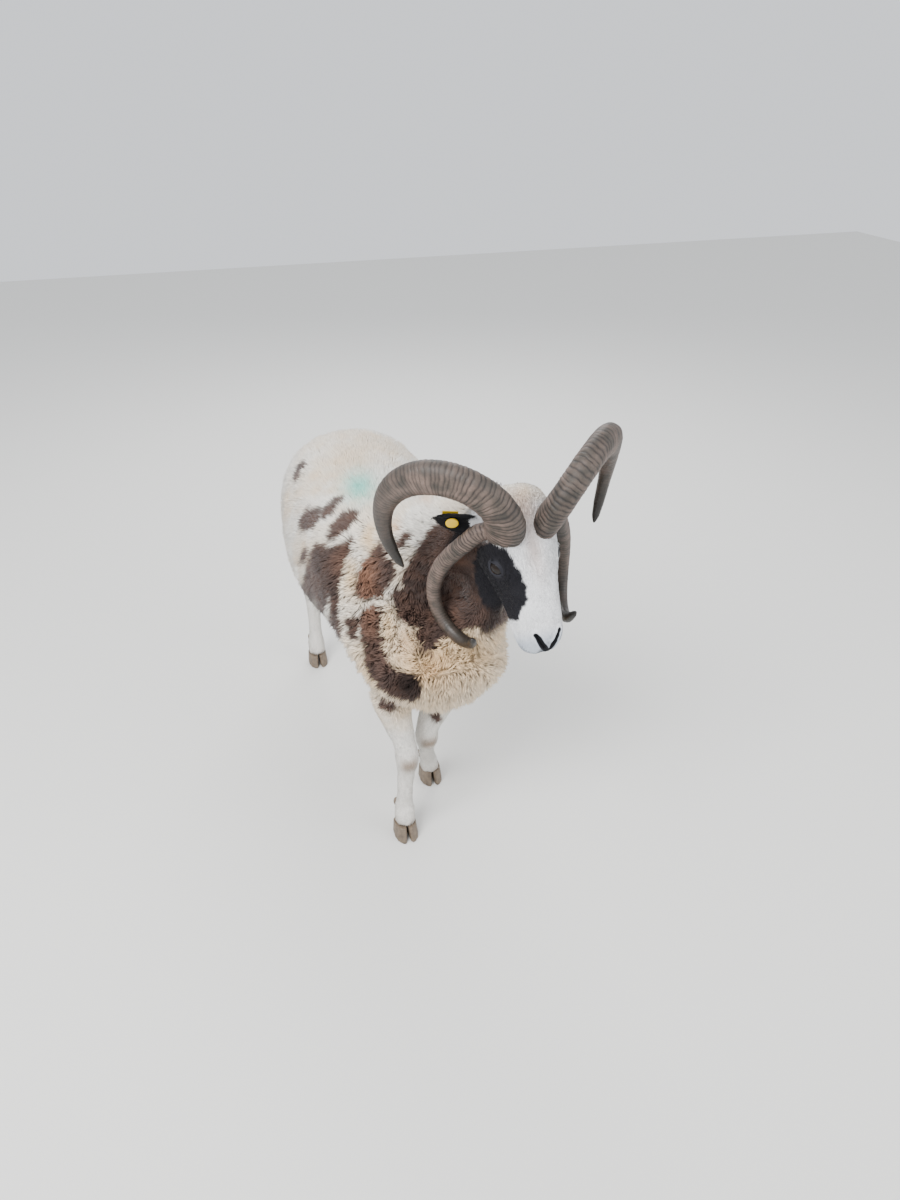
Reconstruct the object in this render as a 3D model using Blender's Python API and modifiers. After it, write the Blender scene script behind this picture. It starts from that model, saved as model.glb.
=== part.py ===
# Life-size model of a four-horned Jacob ram, standing as if stopped in a slow walk.
# The sheep faces -Y, +X is its left side and +Z is up. All sizes are in metres.

import math

import bmesh
import bpy
import numpy as np
from mathutils import Matrix, Vector
from mathutils.bvhtree import BVHTree
from mathutils.kdtree import KDTree

# Touching pieces keep this gap.
GAP = 0.0003

# Voxel, smoothing rounds and triangles of the one surface of trunk, neck and legs, and of the skull.
BODY_SURFACE = (0.006, 6, 4800)
SKULL_SURFACE = (0.0035, 5, 1500)

# Fleece: a core lies half way from the skin to the tips, and rounded clumps reach to the tips.
# The wool ends above the elbow and stifle, and thins out towards the head.
CORE_DEPTH = 0.017
CORE_FACES = 1050
WOOL_HEM = (0.325, 0.365)
BELLY_REACH = (0.035, 0.185, 0.225)
NAPE_FADE = 0.050
CLUMP_SPACING = 0.091
CLUMP_RADIUS = 0.058
CLUMP_SIDES = 6
# Level and radius of a clump's rings, as shares of its own height and radius.
CLUMP_RINGS = ((-1.00, 0.78), (-0.30, 1.00), (0.50, 0.70))
CLUMP_VARIATION = 0.12
NORMAL_POINTS = 7
CLUMP_SEED = 11
CLUMP_TRIES = 9000
# No clump grows where there is less wool than this.
CLUMP_LEAST_WOOL = 0.6

# Trunk, measured to the tips of the fleece: y, middle x, top z, bottom z, half width, and
# how much narrower the section is at its bottom.
TRUNK = (
    (-0.400, 0.042, 0.462, 0.410, 0.050, 0.10),
    (-0.378, 0.044, 0.480, 0.358, 0.105, 0.25),
    (-0.320, 0.044, 0.502, 0.335, 0.150, 0.30),
    (-0.230, 0.034, 0.585, 0.325, 0.172, 0.40),
    (-0.130, 0.018, 0.688, 0.322, 0.181, 0.42),
    (0.000, 0.002, 0.694, 0.312, 0.194, 0.36),
    (0.120, 0.000, 0.694, 0.310, 0.198, 0.30),
    (0.240, 0.000, 0.704, 0.330, 0.191, 0.28),
    (0.335, 0.000, 0.700, 0.375, 0.174, 0.15),
    (0.402, 0.000, 0.670, 0.420, 0.140, 0.05),
    (0.442, 0.000, 0.612, 0.470, 0.088, 0.00),
    (0.456, 0.000, 0.568, 0.520, 0.035, 0.00),
)
TRUNK_SQUARENESS = 2.2

# Neck, measured to the tips of the fleece: x, y, z of its axis, half width, half depth.
NECK = (
    (0.010, -0.080, 0.530, 0.140, 0.150),
    (0.048, -0.155, 0.600, 0.120, 0.125),
    (0.090, -0.215, 0.655, 0.096, 0.102),
    (0.132, -0.278, 0.703, 0.074, 0.084),
    (0.160, -0.335, 0.748, 0.060, 0.074),
)

# Throat, from under the jaw down to the breast, measured like the neck.
THROAT = (
    (0.166, -0.330, 0.700, 0.050, 0.052),
    (0.154, -0.303, 0.630, 0.055, 0.064),
    (0.138, -0.288, 0.560, 0.062, 0.076),
    (0.108, -0.285, 0.480, 0.088, 0.086),
    (0.080, -0.290, 0.420, 0.100, 0.088),
)

# Legs: x, y, z of the axis from inside the trunk down to the coronet, half width, half depth.
FRONT_RIGHT = (
    (-0.060, -0.195, 0.490, 0.055, 0.085),
    (-0.056, -0.265, 0.410, 0.048, 0.072),
    (-0.053, -0.300, 0.330, 0.036, 0.047),
    (-0.038, -0.322, 0.255, 0.0240, 0.028),
    (-0.034, -0.331, 0.212, 0.0245, 0.028),
    (-0.036, -0.327, 0.172, 0.0190, 0.020),
    (-0.039, -0.324, 0.120, 0.0165, 0.018),
    (-0.041, -0.322, 0.082, 0.0180, 0.020),
    (-0.042, -0.324, 0.060, 0.0220, 0.0235),
    (-0.044, -0.336, 0.033, 0.0215, 0.024),
)
FRONT_LEFT = (
    (0.118, -0.190, 0.490, 0.055, 0.085),
    (0.100, -0.250, 0.410, 0.050, 0.074),
    (0.064, -0.272, 0.330, 0.037, 0.048),
    (0.029, -0.278, 0.250, 0.0240, 0.028),
    (0.026, -0.270, 0.207, 0.0245, 0.028),
    (0.031, -0.247, 0.168, 0.0190, 0.020),
    (0.040, -0.214, 0.118, 0.0165, 0.018),
    (0.048, -0.190, 0.080, 0.0180, 0.020),
    (0.052, -0.178, 0.060, 0.0220, 0.0235),
    (0.058, -0.176, 0.033, 0.0215, 0.024),
)
HIND_RIGHT = (
    (-0.088, 0.290, 0.560, 0.078, 0.120),
    (-0.102, 0.290, 0.470, 0.070, 0.112),
    (-0.110, 0.300, 0.390, 0.051, 0.084),
    (-0.113, 0.346, 0.320, 0.034, 0.050),
    (-0.114, 0.392, 0.268, 0.0225, 0.034),
    (-0.114, 0.408, 0.232, 0.0245, 0.033),
    (-0.115, 0.404, 0.185, 0.0195, 0.023),
    (-0.116, 0.398, 0.130, 0.0165, 0.019),
    (-0.117, 0.394, 0.085, 0.0180, 0.020),
    (-0.118, 0.391, 0.060, 0.0220, 0.0235),
    (-0.119, 0.380, 0.033, 0.0215, 0.024),
)
# The left hind foot stands this much further forward, and its hip does not move.
HIND_STEP = -0.105
HIND_STEP_TOP = 0.470

# The legs are parted from the trunk by one level cut just under the belly.
LEG_CUT = 0.288

# Space that holds each leg below the cut.
LEG_ROOM = (0.13, 0.40)

# Feet. A claw's outline is followed from heel to toe and back, as shares of its length and width.
CORONET = 0.033
CLAW_LENGTH = 0.058
CLAW_WIDTH = 0.024
CLAW_CLEFT = 0.003
CLAW_HEEL = 0.021
CLAW_SPLAY_REACH = 0.4
CLAW_TAPER = (0.012, 0.002)
SOLE_SPLAY = math.radians(6.0)
CLAW_OUTLINE = (
    (0.0, 0.12), (0.0, 0.75), (0.12, 1.0), (0.50, 1.0), (0.78, 0.80),
    (0.95, 0.45), (1.0, 0.20), (0.92, 0.03), (0.5, 0.0), (0.1, 0.0),
)
# Dew claws: height, distance to the side and behind the pastern's axis, and half sizes.
DEW_CLAW_PLACE = (0.066, 0.0135, 0.020)
DEW_CLAW_SIZE = (0.0065, 0.0075, 0.011)

# Head: place of the poll, turn to the left, slope of the face below the horizontal, and tilt.
POLL = Vector((0.1765, -0.3938, 0.8103))
HEAD_TURN = math.radians(9.08)
FACE_SLOPE = math.radians(58.37)
HEAD_TILT = math.radians(4.56)

# Head sections in its own axes, where -Y runs down the face and +Z out of the forehead:
# y, middle x, top z, bottom z, half width, narrowing at the bottom.
HEAD = (
    (0.040, 0.0, -0.050, -0.100, 0.035, 0.10),
    (0.018, 0.0, -0.014, -0.126, 0.064, 0.20),
    (-0.020, 0.0, 0.000, -0.144, 0.075, 0.30),
    (-0.060, 0.0, 0.004, -0.153, 0.075, 0.32),
    (-0.100, 0.0, 0.004, -0.155, 0.068, 0.30),
    (-0.140, 0.0, 0.003, -0.146, 0.057, 0.28),
    (-0.180, 0.0, -0.001, -0.130, 0.049, 0.25),
    (-0.215, 0.0, -0.007, -0.116, 0.0455, 0.20),
    (-0.245, 0.0, -0.016, -0.107, 0.042, 0.18),
    (-0.265, 0.0, -0.031, -0.098, 0.034, 0.15),
    (-0.275, 0.0, -0.046, -0.084, 0.020, 0.10),
)
HEAD_SQUARENESS = 2.35

# The cut between head and neck: a point of it and its direction, in the head's axes.
NAPE_POINT = Vector((0.0, -0.010, -0.085))
NAPE_NORMAL = Vector((0.0, -0.68, 0.73))
# The neck may reach forward under the jaw, below this level of the head's axes.
JAW_LEVEL = -0.142
# The cut between neck and trunk, in the sheep's axes.
COLLAR_POINT = Vector((0.040, -0.270, 0.640))
COLLAR_NORMAL = Vector((0.30, -0.48, 0.82))

# Eyes, in the head's axes.
EYE_CENTRE = Vector((0.0520, -0.103, -0.045))
EYE_AXIS = Vector((0.88, -0.30, 0.36))
EYE_RADIUS = 0.0165
LID_THICKNESS = 0.0030
EYE_OPENING = (0.0140, 0.0085)
EYE_SLANT = math.radians(40.0)
# The cut between the lids: its depths as shares of the ball's radius, its sides, how pointed its
# corners are and its size at the ball's middle.
LID_REACHES = (0.3, 1.0, 2.2)
LID_SIDES = 14
LID_POINTEDNESS = 1.6
LID_INNER_SIZE = 0.75

# Mouth and nostrils, in the head's axes: the mouth is followed round the muzzle from a middle
# point (y, z), over this angle to each side, and drops towards its corners.
MOUTH_MIDDLE = (-0.215, -0.070)
MOUTH_ANGLE = math.radians(92.0)
MOUTH_STEPS = 13
MOUTH_DROP = 0.010
MOUTH_RADIUS = 0.0018
LIP_RADIUS = 0.0060
NOSTRIL = (
    (0.007, -0.276, -0.050, 0.0018),
    (0.013, -0.272, -0.040, 0.0034),
    (0.021, -0.264, -0.029, 0.0038),
    (0.028, -0.251, -0.021, 0.0018),
)

# Horns: base, azimuth and elevation of the axis of the curl, start angle, side slope of the
# helix, length, turn per metre and how that turn changes, all for the right side of the head,
# then the spacing of its ridges and the number of its sides.
UPPER_HORN = dict(
    base=(-0.0417, -0.0441, -0.0119), azimuth=-2.463, elevation=0.3234, start=0.266,
    slope=0.1852, length=0.4895, turn=10.72, turn_change=-7.776, ridge_spacing=0.021, sides=10,
)
LOWER_HORN = dict(
    base=(-0.0856, -0.0389, -0.0462), azimuth=0.5729, elevation=-0.2977, start=-3.1912,
    slope=-0.2647, length=0.3682, turn=1.805, turn_change=-65.83, ridge_spacing=0.024, sides=8,
)
# Horn widths: share of the length, half width in the plane of the curl, half width across it.
UPPER_WIDTHS = (
    (-0.06, 0.0390, 0.0265), (0.00, 0.0390, 0.0265), (0.40, 0.0355, 0.0245), (0.50, 0.0315, 0.0230),
    (0.60, 0.0265, 0.0200), (0.71, 0.0205, 0.0165), (0.81, 0.0160, 0.0130), (0.91, 0.0120, 0.0108),
    (0.97, 0.0075, 0.0075), (1.00, 0.0025, 0.0025),
)
LOWER_WIDTHS = (
    (-0.06, 0.0175, 0.0150), (0.00, 0.0175, 0.0150), (0.30, 0.0165, 0.0140), (0.55, 0.0140, 0.0125),
    (0.80, 0.0140, 0.0125), (0.92, 0.0110, 0.0100), (0.98, 0.0065, 0.0060), (1.00, 0.0030, 0.0030),
)
RIDGE_HEIGHT = 0.0016
RIDGED_SHARE = 0.62
HORN_ROOT = -0.06
HORN_STEPS = 400
# The breast's wool stays this far off a horn.
HORN_CLEARANCE = 0.002

# Ears, in the head's axes, for the left side.
EAR_ROOT = Vector((0.064, -0.010, -0.066))
EAR_TIP = Vector((0.158, 0.004, -0.080))
EAR_CUP_DIRECTION = Vector((0.0, -0.74, 0.52))
EAR_HALF_WIDTH = 0.024
EAR_THICKNESS = 0.005
EAR_ROLL = math.radians(75.0)
EAR_DROOP = 0.012
EAR_SUNK = 0.10
# Rows along the ear and columns across it, then how its outline swells and narrows to the tip.
EAR_ROWS = 8
EAR_COLUMNS = 6
EAR_OUTLINE = dict(start=0.20, shift=1.15, fullness=0.75)
EAR_UNROLLS = 0.65
EAR_LEAST_WIDTH = 0.0025

# Ear tags: share of the ear's length, button radius, and the plate's width, height and thickness.
TAG_AT = 0.60
TAG_BUTTON = 0.012
TAG_BUTTON_THICKNESS = 0.003
TAG_PLATE = (0.032, 0.030, 0.0018)
TAG_STEM = 0.0028
TAG_LIFT = 0.008
TAG_BACK = 0.0030
TAG_PLATE_OFFSET = 0.004

# Tail, from inside the trunk: x, y, z of its axis, half width to the tips of its wool, and the
# core's share of that. Clumps stand on its back and sides at these shares of its length.
TAIL = (
    (0.000, 0.400, 0.625, 0.024, 1.00),
    (0.000, 0.448, 0.607, 0.028, 1.00),
    (0.000, 0.492, 0.560, 0.031, 0.85),
    (0.000, 0.505, 0.490, 0.033, 0.62),
    (0.000, 0.505, 0.420, 0.030, 0.62),
    (0.000, 0.502, 0.375, 0.015, 0.62),
)
TAIL_CLUMP_LEVELS = (0.50, 0.66, 0.82, 0.95)
TAIL_CLUMPS_ROUND = 2
TAIL_CLUMP_SPREAD = math.radians(58.0)
TAIL_CLUMP_RADIUS = 0.027

WHITE_WOOL = ("white_wool", (0.80, 0.74, 0.64), 0.95)
BROWN_WOOL = ("brown_wool", (0.070, 0.040, 0.026), 0.95)
WHITE_HAIR = ("white_hair", (0.82, 0.79, 0.74), 0.80)
BLACK_HAIR = ("black_hair", (0.016, 0.013, 0.012), 0.70)
HORN = ("horn", (0.16, 0.125, 0.095), 0.55)
HOOF = ("hoof", (0.10, 0.085, 0.070), 0.50)
EYE = ("eye", (0.045, 0.022, 0.010), 0.08)
TAG_YELLOW = ("tag_plastic", (0.90, 0.62, 0.02), 0.45)


# Basic helpers

def clear_scene():
    for thing in list(bpy.data.objects):
        bpy.data.objects.remove(thing)


def new_collection(name):
    group = bpy.data.collections.new(name)
    bpy.context.scene.collection.children.link(group)
    return group


def material(look):
    name, colour, roughness = look
    made = bpy.data.materials.get(name)
    if made is None:
        made = bpy.data.materials.new(name)
        made.use_nodes = True
        shader = made.node_tree.nodes["Principled BSDF"]
        shader.inputs["Base Color"].default_value = (*colour, 1.0)
        shader.inputs["Roughness"].default_value = roughness
        shader.inputs["Metallic"].default_value = 0.0
    return made


def mesh_object(name, points, faces, group):
    mesh = bpy.data.meshes.new(name)
    mesh.from_pydata([tuple(p) for p in points], [], faces)
    thing = bpy.data.objects.new(name, mesh)
    group.objects.link(thing)
    return thing


def bake_modifiers(thing):
    thing.update_tag()
    bpy.context.view_layer.update()
    shape = bpy.context.evaluated_depsgraph_get()
    mesh = bpy.data.meshes.new_from_object(thing.evaluated_get(shape))
    thing.modifiers.clear()
    thing.data = mesh
    return thing


def boolean(thing, operation, others, solver="EXACT"):
    for other in others:
        cut = thing.modifiers.new(operation.lower(), "BOOLEAN")
        cut.operation = operation
        cut.solver = solver
        cut.object = other
        bake_modifiers(thing)
        bpy.data.objects.remove(other)
    return thing


def union_all(thing, pieces, solver="MANIFOLD"):
    group = new_collection("pieces")
    for piece in pieces:
        for old in list(piece.users_collection):
            old.objects.unlink(piece)
        group.objects.link(piece)
    join = thing.modifiers.new("union", "BOOLEAN")
    join.operation = "UNION"
    join.solver = solver
    join.operand_type = "COLLECTION"
    join.collection = group
    bake_modifiers(thing)
    for piece in pieces:
        bpy.data.objects.remove(piece)
    bpy.data.collections.remove(group)
    return thing


def join_shells(name, shells, group):
    points = []
    faces = []
    for shell in shells:
        start = len(points)
        points += [v.co[:] for v in shell.data.vertices]
        faces += [[start + i for i in face.vertices] for face in shell.data.polygons]
        bpy.data.objects.remove(shell)
    return mesh_object(name, points, faces, group)


# Keeps the largest closed surface, as triangles with no doubled points.
def tidy(thing):
    shape = bmesh.new()
    shape.from_mesh(thing.data)
    bmesh.ops.remove_doubles(shape, verts=shape.verts, dist=1e-6)
    bmesh.ops.dissolve_degenerate(shape, edges=shape.edges, dist=1e-6)
    bmesh.ops.triangulate(shape, faces=shape.faces)
    seen = set()
    shells = []
    for first in shape.faces:
        if first in seen:
            continue
        shell = [first]
        seen.add(first)
        for face in shell:
            for edge in face.edges:
                for near in edge.link_faces:
                    if near not in seen:
                        seen.add(near)
                        shell.append(near)
        shells.append(shell)
    keep = max(shells, key=lambda shell: sum(face.calc_area() for face in shell))
    kept = set(keep)
    bmesh.ops.delete(shape, geom=[face for face in shape.faces if face not in kept], context="FACES")
    loose = [v for v in shape.verts if not v.link_faces]
    bmesh.ops.delete(shape, geom=loose, context="VERTS")
    bmesh.ops.recalc_face_normals(shape, faces=shape.faces)
    shape.to_mesh(thing.data)
    shape.free()
    return thing


# A smooth curve through rows of numbers, with the given steps in each span.
def through(rows, steps):
    table = np.array(rows, dtype=float)
    ends = np.vstack([2 * table[0] - table[1], table, 2 * table[-1] - table[-2]])
    made = []
    for i in range(len(table) - 1):
        a, b, c, d = ends[i:i + 4]
        for t in np.linspace(0.0, 1.0, steps, endpoint=False):
            made.append(0.5 * (2 * b + (c - a) * t + (2 * a - 5 * b + 4 * c - d) * t * t
                               + (3 * b - a - 3 * c + d) * t ** 3))
    made.append(table[-1])
    return np.array(made)


def ring(centre, across, up, half_width, half_height, squareness, sides):
    angles = np.arange(sides) * 2 * math.pi / sides
    c = np.sign(np.cos(angles)) * np.abs(np.cos(angles)) ** (2 / squareness)
    s = np.sign(np.sin(angles)) * np.abs(np.sin(angles)) ** (2 / squareness)
    return centre + np.outer(c * half_width, across) + np.outer(s * half_height, up)


def loft(name, rings, group):
    sides = len(rings[0])
    points = np.vstack(rings)
    faces = [list(range(sides))[::-1]]
    for i in range(len(rings) - 1):
        for j in range(sides):
            k = (j + 1) % sides
            near, far = i * sides, (i + 1) * sides
            faces += [(near + j, near + k, far + k), (near + j, far + k, far + j)]
    faces.append([(len(rings) - 1) * sides + j for j in range(sides)])
    thing = mesh_object(name, points, faces, group)
    shape = bmesh.new()
    shape.from_mesh(thing.data)
    bmesh.ops.recalc_face_normals(shape, faces=shape.faces)
    bmesh.ops.triangulate(shape, faces=shape.faces)
    shape.to_mesh(thing.data)
    shape.free()
    return thing


# Sections that stand upright across the Y axis, as on a trunk or a head.
def upright_loft(name, rows, squareness, sides, steps, group):
    rings = []
    for y, x, top, bottom, half, narrowing in through(rows, steps):
        section = ring(np.zeros(3), (1, 0, 0), (0, 0, 1), half, (top - bottom) / 2, squareness, sides)
        lowness = np.clip(-section[:, 2] * 2 / (top - bottom), 0.0, 1.0)
        section[:, 0] *= 1.0 - narrowing * lowness ** 1.5
        rings.append(section + (x, y, (top + bottom) / 2))
    return loft(name, rings, group)


# Sections square to a path, with their width level.
def path_loft(name, rows, sides, steps, group, grow=0.0):
    table = through(rows, steps)
    path = table[:, :3]
    heading = np.gradient(path, axis=0)
    heading /= np.linalg.norm(heading, axis=1)[:, None]
    path[0] -= heading[0] * 2 * grow
    rings = []
    for place, along, row in zip(path, heading, table):
        level = np.array((1.0, 0.0, 0.0)) - along[0] * along
        level /= np.linalg.norm(level)
        depth = np.cross(along, level)
        half_height = row[4] if len(row) > 4 else row[3]
        rings.append(ring(place, level, depth, row[3] + grow, half_height + grow, 2.0, sides))
    return loft(name, rings, group)


def decimate(thing, faces):
    thing.data.calc_loop_triangles()
    fewer = thing.modifiers.new("fewer", "DECIMATE")
    fewer.ratio = faces / len(thing.data.loop_triangles)
    bake_modifiers(thing)
    return tidy(thing)


def remesh(thing, voxel, rounds, faces):
    cells = thing.modifiers.new("cells", "REMESH")
    cells.mode = "VOXEL"
    cells.voxel_size = voxel
    even = thing.modifiers.new("even", "SMOOTH")
    even.factor = 0.5
    even.iterations = rounds
    bake_modifiers(thing)
    return decimate(thing, faces)


# The axes of a place whose Z is a given direction.
def facing(point, normal):
    turn = Vector((0, 0, 1)).rotation_difference(Vector(normal))
    return Matrix.Translation(Vector(point)) @ turn.to_matrix().to_4x4()


# Keeps what lies on the side of a plane that its normal points to.
def keep_side(thing, point, normal):
    bpy.ops.mesh.primitive_cube_add(size=3.0)
    block = bpy.context.object
    block.data.transform(facing(point, normal) @ Matrix.Translation((0, 0, 1.5)))
    boolean(thing, "INTERSECT", [block])
    return thing


# The space in front of the nape and above the jaw's level, which belongs to the head.
def head_room(nape_point, nape_normal):
    bpy.ops.mesh.primitive_cube_add(size=1.0)
    room = bpy.context.object
    room.data.transform(head_matrix() @ Matrix.Translation((0, 0, JAW_LEVEL + 0.5)))
    return keep_side(room, nape_point, nape_normal)


# A copy that is larger all round by the given gap.
def swollen(thing, gap, group):
    twin = copy_of(thing, "swollen", group)
    normals = [v.normal.copy() for v in twin.data.vertices]
    for v, normal in zip(twin.data.vertices, normals):
        v.co += normal * gap
    return twin


def copy_of(thing, name, group):
    twin = bpy.data.objects.new(name, thing.data.copy())
    group.objects.link(twin)
    return twin


def finish(thing, name, look, group):
    thing.name = name
    thing.data.name = name
    for old in list(thing.users_collection):
        old.objects.unlink(thing)
    group.objects.link(thing)
    thing.data.materials.clear()
    thing.data.materials.append(material(look))
    thing.data.shade_smooth()
    thing.data.set_sharp_from_angle(angle=math.radians(40))
    return thing


# Head axes

def head_matrix():
    turn, slope = HEAD_TURN, FACE_SLOPE
    face = Vector((math.sin(turn) * math.cos(slope), -math.cos(turn) * math.cos(slope), -math.sin(slope)))
    left = Vector((math.cos(turn), math.sin(turn), 0.0))
    out = Vector((math.sin(turn) * math.sin(slope), -math.cos(turn) * math.sin(slope), math.cos(slope)))
    c, s = math.cos(HEAD_TILT), math.sin(HEAD_TILT)
    left, out = c * left + s * out, c * out - s * left
    matrix = Matrix((left, -face, out)).transposed().to_4x4()
    matrix.translation = POLL
    return matrix


def sided(vector, side):
    return Vector((side * vector[0], vector[1], vector[2]))


# Body

def hind_left():
    rows = []
    for x, y, z, half_width, half_depth in HIND_RIGHT:
        share = min(1.0, max(0.0, (HIND_STEP_TOP - z) / (HIND_STEP_TOP - CORONET)))
        rows.append((-x, y + HIND_STEP * share, z, half_width, half_depth))
    return rows


def leg_rows():
    return {
        "front_right": FRONT_RIGHT, "front_left": FRONT_LEFT,
        "hind_right": HIND_RIGHT, "hind_left": hind_left(),
    }


def trunk_with_legs(group):
    shells = [
        upright_loft("trunk", TRUNK, TRUNK_SQUARENESS, 40, 4, group),
        path_loft("neck", NECK, 32, 4, group),
        path_loft("throat", THROAT, 24, 4, group),
    ]
    for name, rows in leg_rows().items():
        shells.append(path_loft(name, rows, 20, 4, group))
    return join_shells("whole", shells, group)


def head_and_neck(group):
    neck = path_loft("neck", NECK, 32, 4, group)
    head = upright_loft("skull", HEAD, HEAD_SQUARENESS, 40, 5, group)
    head.data.transform(head_matrix())
    return join_shells("head_and_neck", [neck, head], group)


# Fleece

def fade(value, start, end):
    share = min(1.0, max(0.0, (value - start) / (end - start)))
    return share * share * (3.0 - 2.0 * share)


# How far a place is behind the head: behind the nape or under the jaw.
def behind_head(place, to_head):
    local = to_head @ place
    return max((NAPE_POINT - local).dot(NAPE_NORMAL.normalized()), JAW_LEVEL - local.z)


# How much wool there is at a place, from 0 to 1.
def wool_share(place, to_head):
    middle, flat, end = BELLY_REACH
    body = max(fade(place.z, *WOOL_HEM), fade(-abs(place.y - middle), -end, -flat))
    return body * fade(behind_head(place, to_head), 0.0, NAPE_FADE)


def fleece_core(whole, to_head, group):
    core = copy_of(whole, "core", group)
    normals = [v.normal.copy() for v in core.data.vertices]
    for v, normal in zip(core.data.vertices, normals):
        v.co -= normal * CORE_DEPTH * wool_share(v.co, to_head)
    return decimate(core, CORE_FACES)


# The direction that a surface faces round a place, from its nearest points.
def smooth_normal(place, tree, mesh):
    total = Vector()
    for _, index, _ in tree.find_n(place, NORMAL_POINTS):
        total += mesh.vertices[index].normal
    return total.normalized()


# Places for the clumps: random points on the surface that keep their distance.
def clump_places(core, whole, to_head, random):
    tree = KDTree(len(whole.data.vertices))
    for v in whole.data.vertices:
        tree.insert(v.co, v.index)
    tree.balance()
    mesh = core.data
    mesh.calc_loop_triangles()
    corners = np.array([[mesh.vertices[i].co[:] for i in tri.vertices] for tri in mesh.loop_triangles])
    cross = np.cross(corners[:, 1] - corners[:, 0], corners[:, 2] - corners[:, 0])
    area = np.linalg.norm(cross, axis=1)
    picks = random.choice(len(area), size=CLUMP_TRIES, p=area / area.sum())
    u, v = random.random((2, CLUMP_TRIES))
    flip = u + v > 1.0
    u[flip], v[flip] = 1.0 - u[flip], 1.0 - v[flip]
    first, second, third = corners[picks].transpose(1, 0, 2)
    spots = first + (second - first) * u[:, None] + (third - first) * v[:, None]
    kept = []
    for spot in spots:
        place = Vector(spot)
        share = wool_share(place, to_head)
        if share < CLUMP_LEAST_WOOL:
            continue
        if all((place - other[0]).length > CLUMP_SPACING for other in kept):
            outward = smooth_normal(place, tree, whole.data)
            kept.append((place, outward, CORE_DEPTH * share, CLUMP_RADIUS * share))
    return kept


# A rounded clump that stands on a place of its core, with its root sunk as deep as it is high.
def clump(place, normal, tallest, widest, random, group):
    radius = widest * (1.0 + CLUMP_VARIATION * random.uniform(-1.0, 1.0))
    height = tallest * (1.0 - CLUMP_VARIATION * random.random())
    matrix = facing(place, normal) @ Matrix.Rotation(random.uniform(0, math.pi), 4, "Z")
    points = []
    for level, width in CLUMP_RINGS:
        for side in range(CLUMP_SIDES):
            angle = side * 2 * math.pi / CLUMP_SIDES
            wide = radius * width * (1.0 + CLUMP_VARIATION * random.uniform(-1.0, 1.0))
            points.append((wide * math.cos(angle), wide * math.sin(angle), level * height))
    points.append((0.0, 0.0, height))
    faces = [list(range(CLUMP_SIDES))[::-1]]
    for i in range(len(CLUMP_RINGS) - 1):
        for j in range(CLUMP_SIDES):
            k = (j + 1) % CLUMP_SIDES
            near, far = i * CLUMP_SIDES, (i + 1) * CLUMP_SIDES
            faces += [(near + j, near + k, far + k), (near + j, far + k, far + j)]
    last = (len(CLUMP_RINGS) - 1) * CLUMP_SIDES
    faces += [(last + j, last + (j + 1) % CLUMP_SIDES, len(points) - 1) for j in range(CLUMP_SIDES)]
    thing = mesh_object("clump", points, faces, group)
    thing.data.transform(matrix)
    return thing


# Tail: a slim core with clumps on its back and sides, which stay off the rump.
def tail_clumps(random, group):
    path = through(TAIL, 12)
    clumps = []
    for number, level in enumerate(TAIL_CLUMP_LEVELS):
        at = min(int(level * len(path)), len(path) - 2)
        place = Vector(path[at][:3])
        along = Vector(path[at + 1][:3] - path[at - 1][:3]).normalized()
        back = Vector((0.0, 1.0, 0.0))
        back = (back - back.dot(along) * along).normalized()
        half, share = path[at][3:5]
        stagger = (0.5 if number % 2 else 0.0) / TAIL_CLUMPS_ROUND
        for spread in np.linspace(-1.0, 1.0, TAIL_CLUMPS_ROUND) + stagger:
            angle = TAIL_CLUMP_SPREAD * spread
            outward = math.cos(angle) * back + math.sin(angle) * back.cross(along)
            clumps.append(clump(place + outward * half * share, outward, half * (1.0 - share),
                                TAIL_CLUMP_RADIUS * half / TAIL[3][3], random, group))
    return clumps


def tail_node(random, group):
    core = path_loft("tail", [(x, y, z, half * share) for x, y, z, half, share in TAIL], 10, 2, group)
    return tidy(union_all(core, tail_clumps(random, group)))


# Legs and feet

def leg_node(whole, name, rows, group):
    x, y = rows[-1][:2]
    leg = copy_of(whole, name, group)
    bpy.ops.mesh.primitive_cube_add(size=1.0)
    block = bpy.context.object
    block.data.transform(Matrix.Translation((x, y, (LEG_CUT + CORONET) / 2))
                         @ Matrix.Diagonal((*LEG_ROOM, LEG_CUT - CORONET, 1.0)))
    boolean(leg, "INTERSECT", [block])
    height, aside, behind = DEW_CLAW_PLACE
    pastern = next(row for row in reversed(rows) if row[2] > CORONET)
    for side in (1, -1):
        bpy.ops.mesh.primitive_ico_sphere_add(subdivisions=1, radius=1.0)
        horny = bpy.context.object
        horny.data.transform(Matrix.Translation((pastern[0] + side * aside, pastern[1] + behind, height))
                             @ Matrix.Diagonal((*DEW_CLAW_SIZE, 1.0)))
        boolean(leg, "UNION", [horny])
    return tidy(leg)


def claw(name, foot, side, group):
    rings = []
    heel = foot[1] + CLAW_HEEL
    inner = foot[0] + side * CLAW_CLEFT / 2
    for level in (0.0, 0.5, 1.0):
        length = CLAW_LENGTH - CLAW_TAPER[0] * level
        width = CLAW_WIDTH - CLAW_TAPER[1] * level
        outline = []
        for along, out in CLAW_OUTLINE:
            splay = math.sin(SOLE_SPLAY * along * (1.0 - level)) * length * CLAW_SPLAY_REACH
            outline.append((inner + side * (out * width + splay), heel - along * length,
                            level * (CORONET - GAP)))
        rings.append(np.array(outline))
    return tidy(loft(name, rings, group))


# Head

def ball(centre, radius, segments=12, rings=8):
    bpy.ops.mesh.primitive_uv_sphere_add(radius=radius, segments=segments, ring_count=rings)
    thing = bpy.context.object
    thing.data.transform(Matrix.Translation(centre))
    return thing


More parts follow.
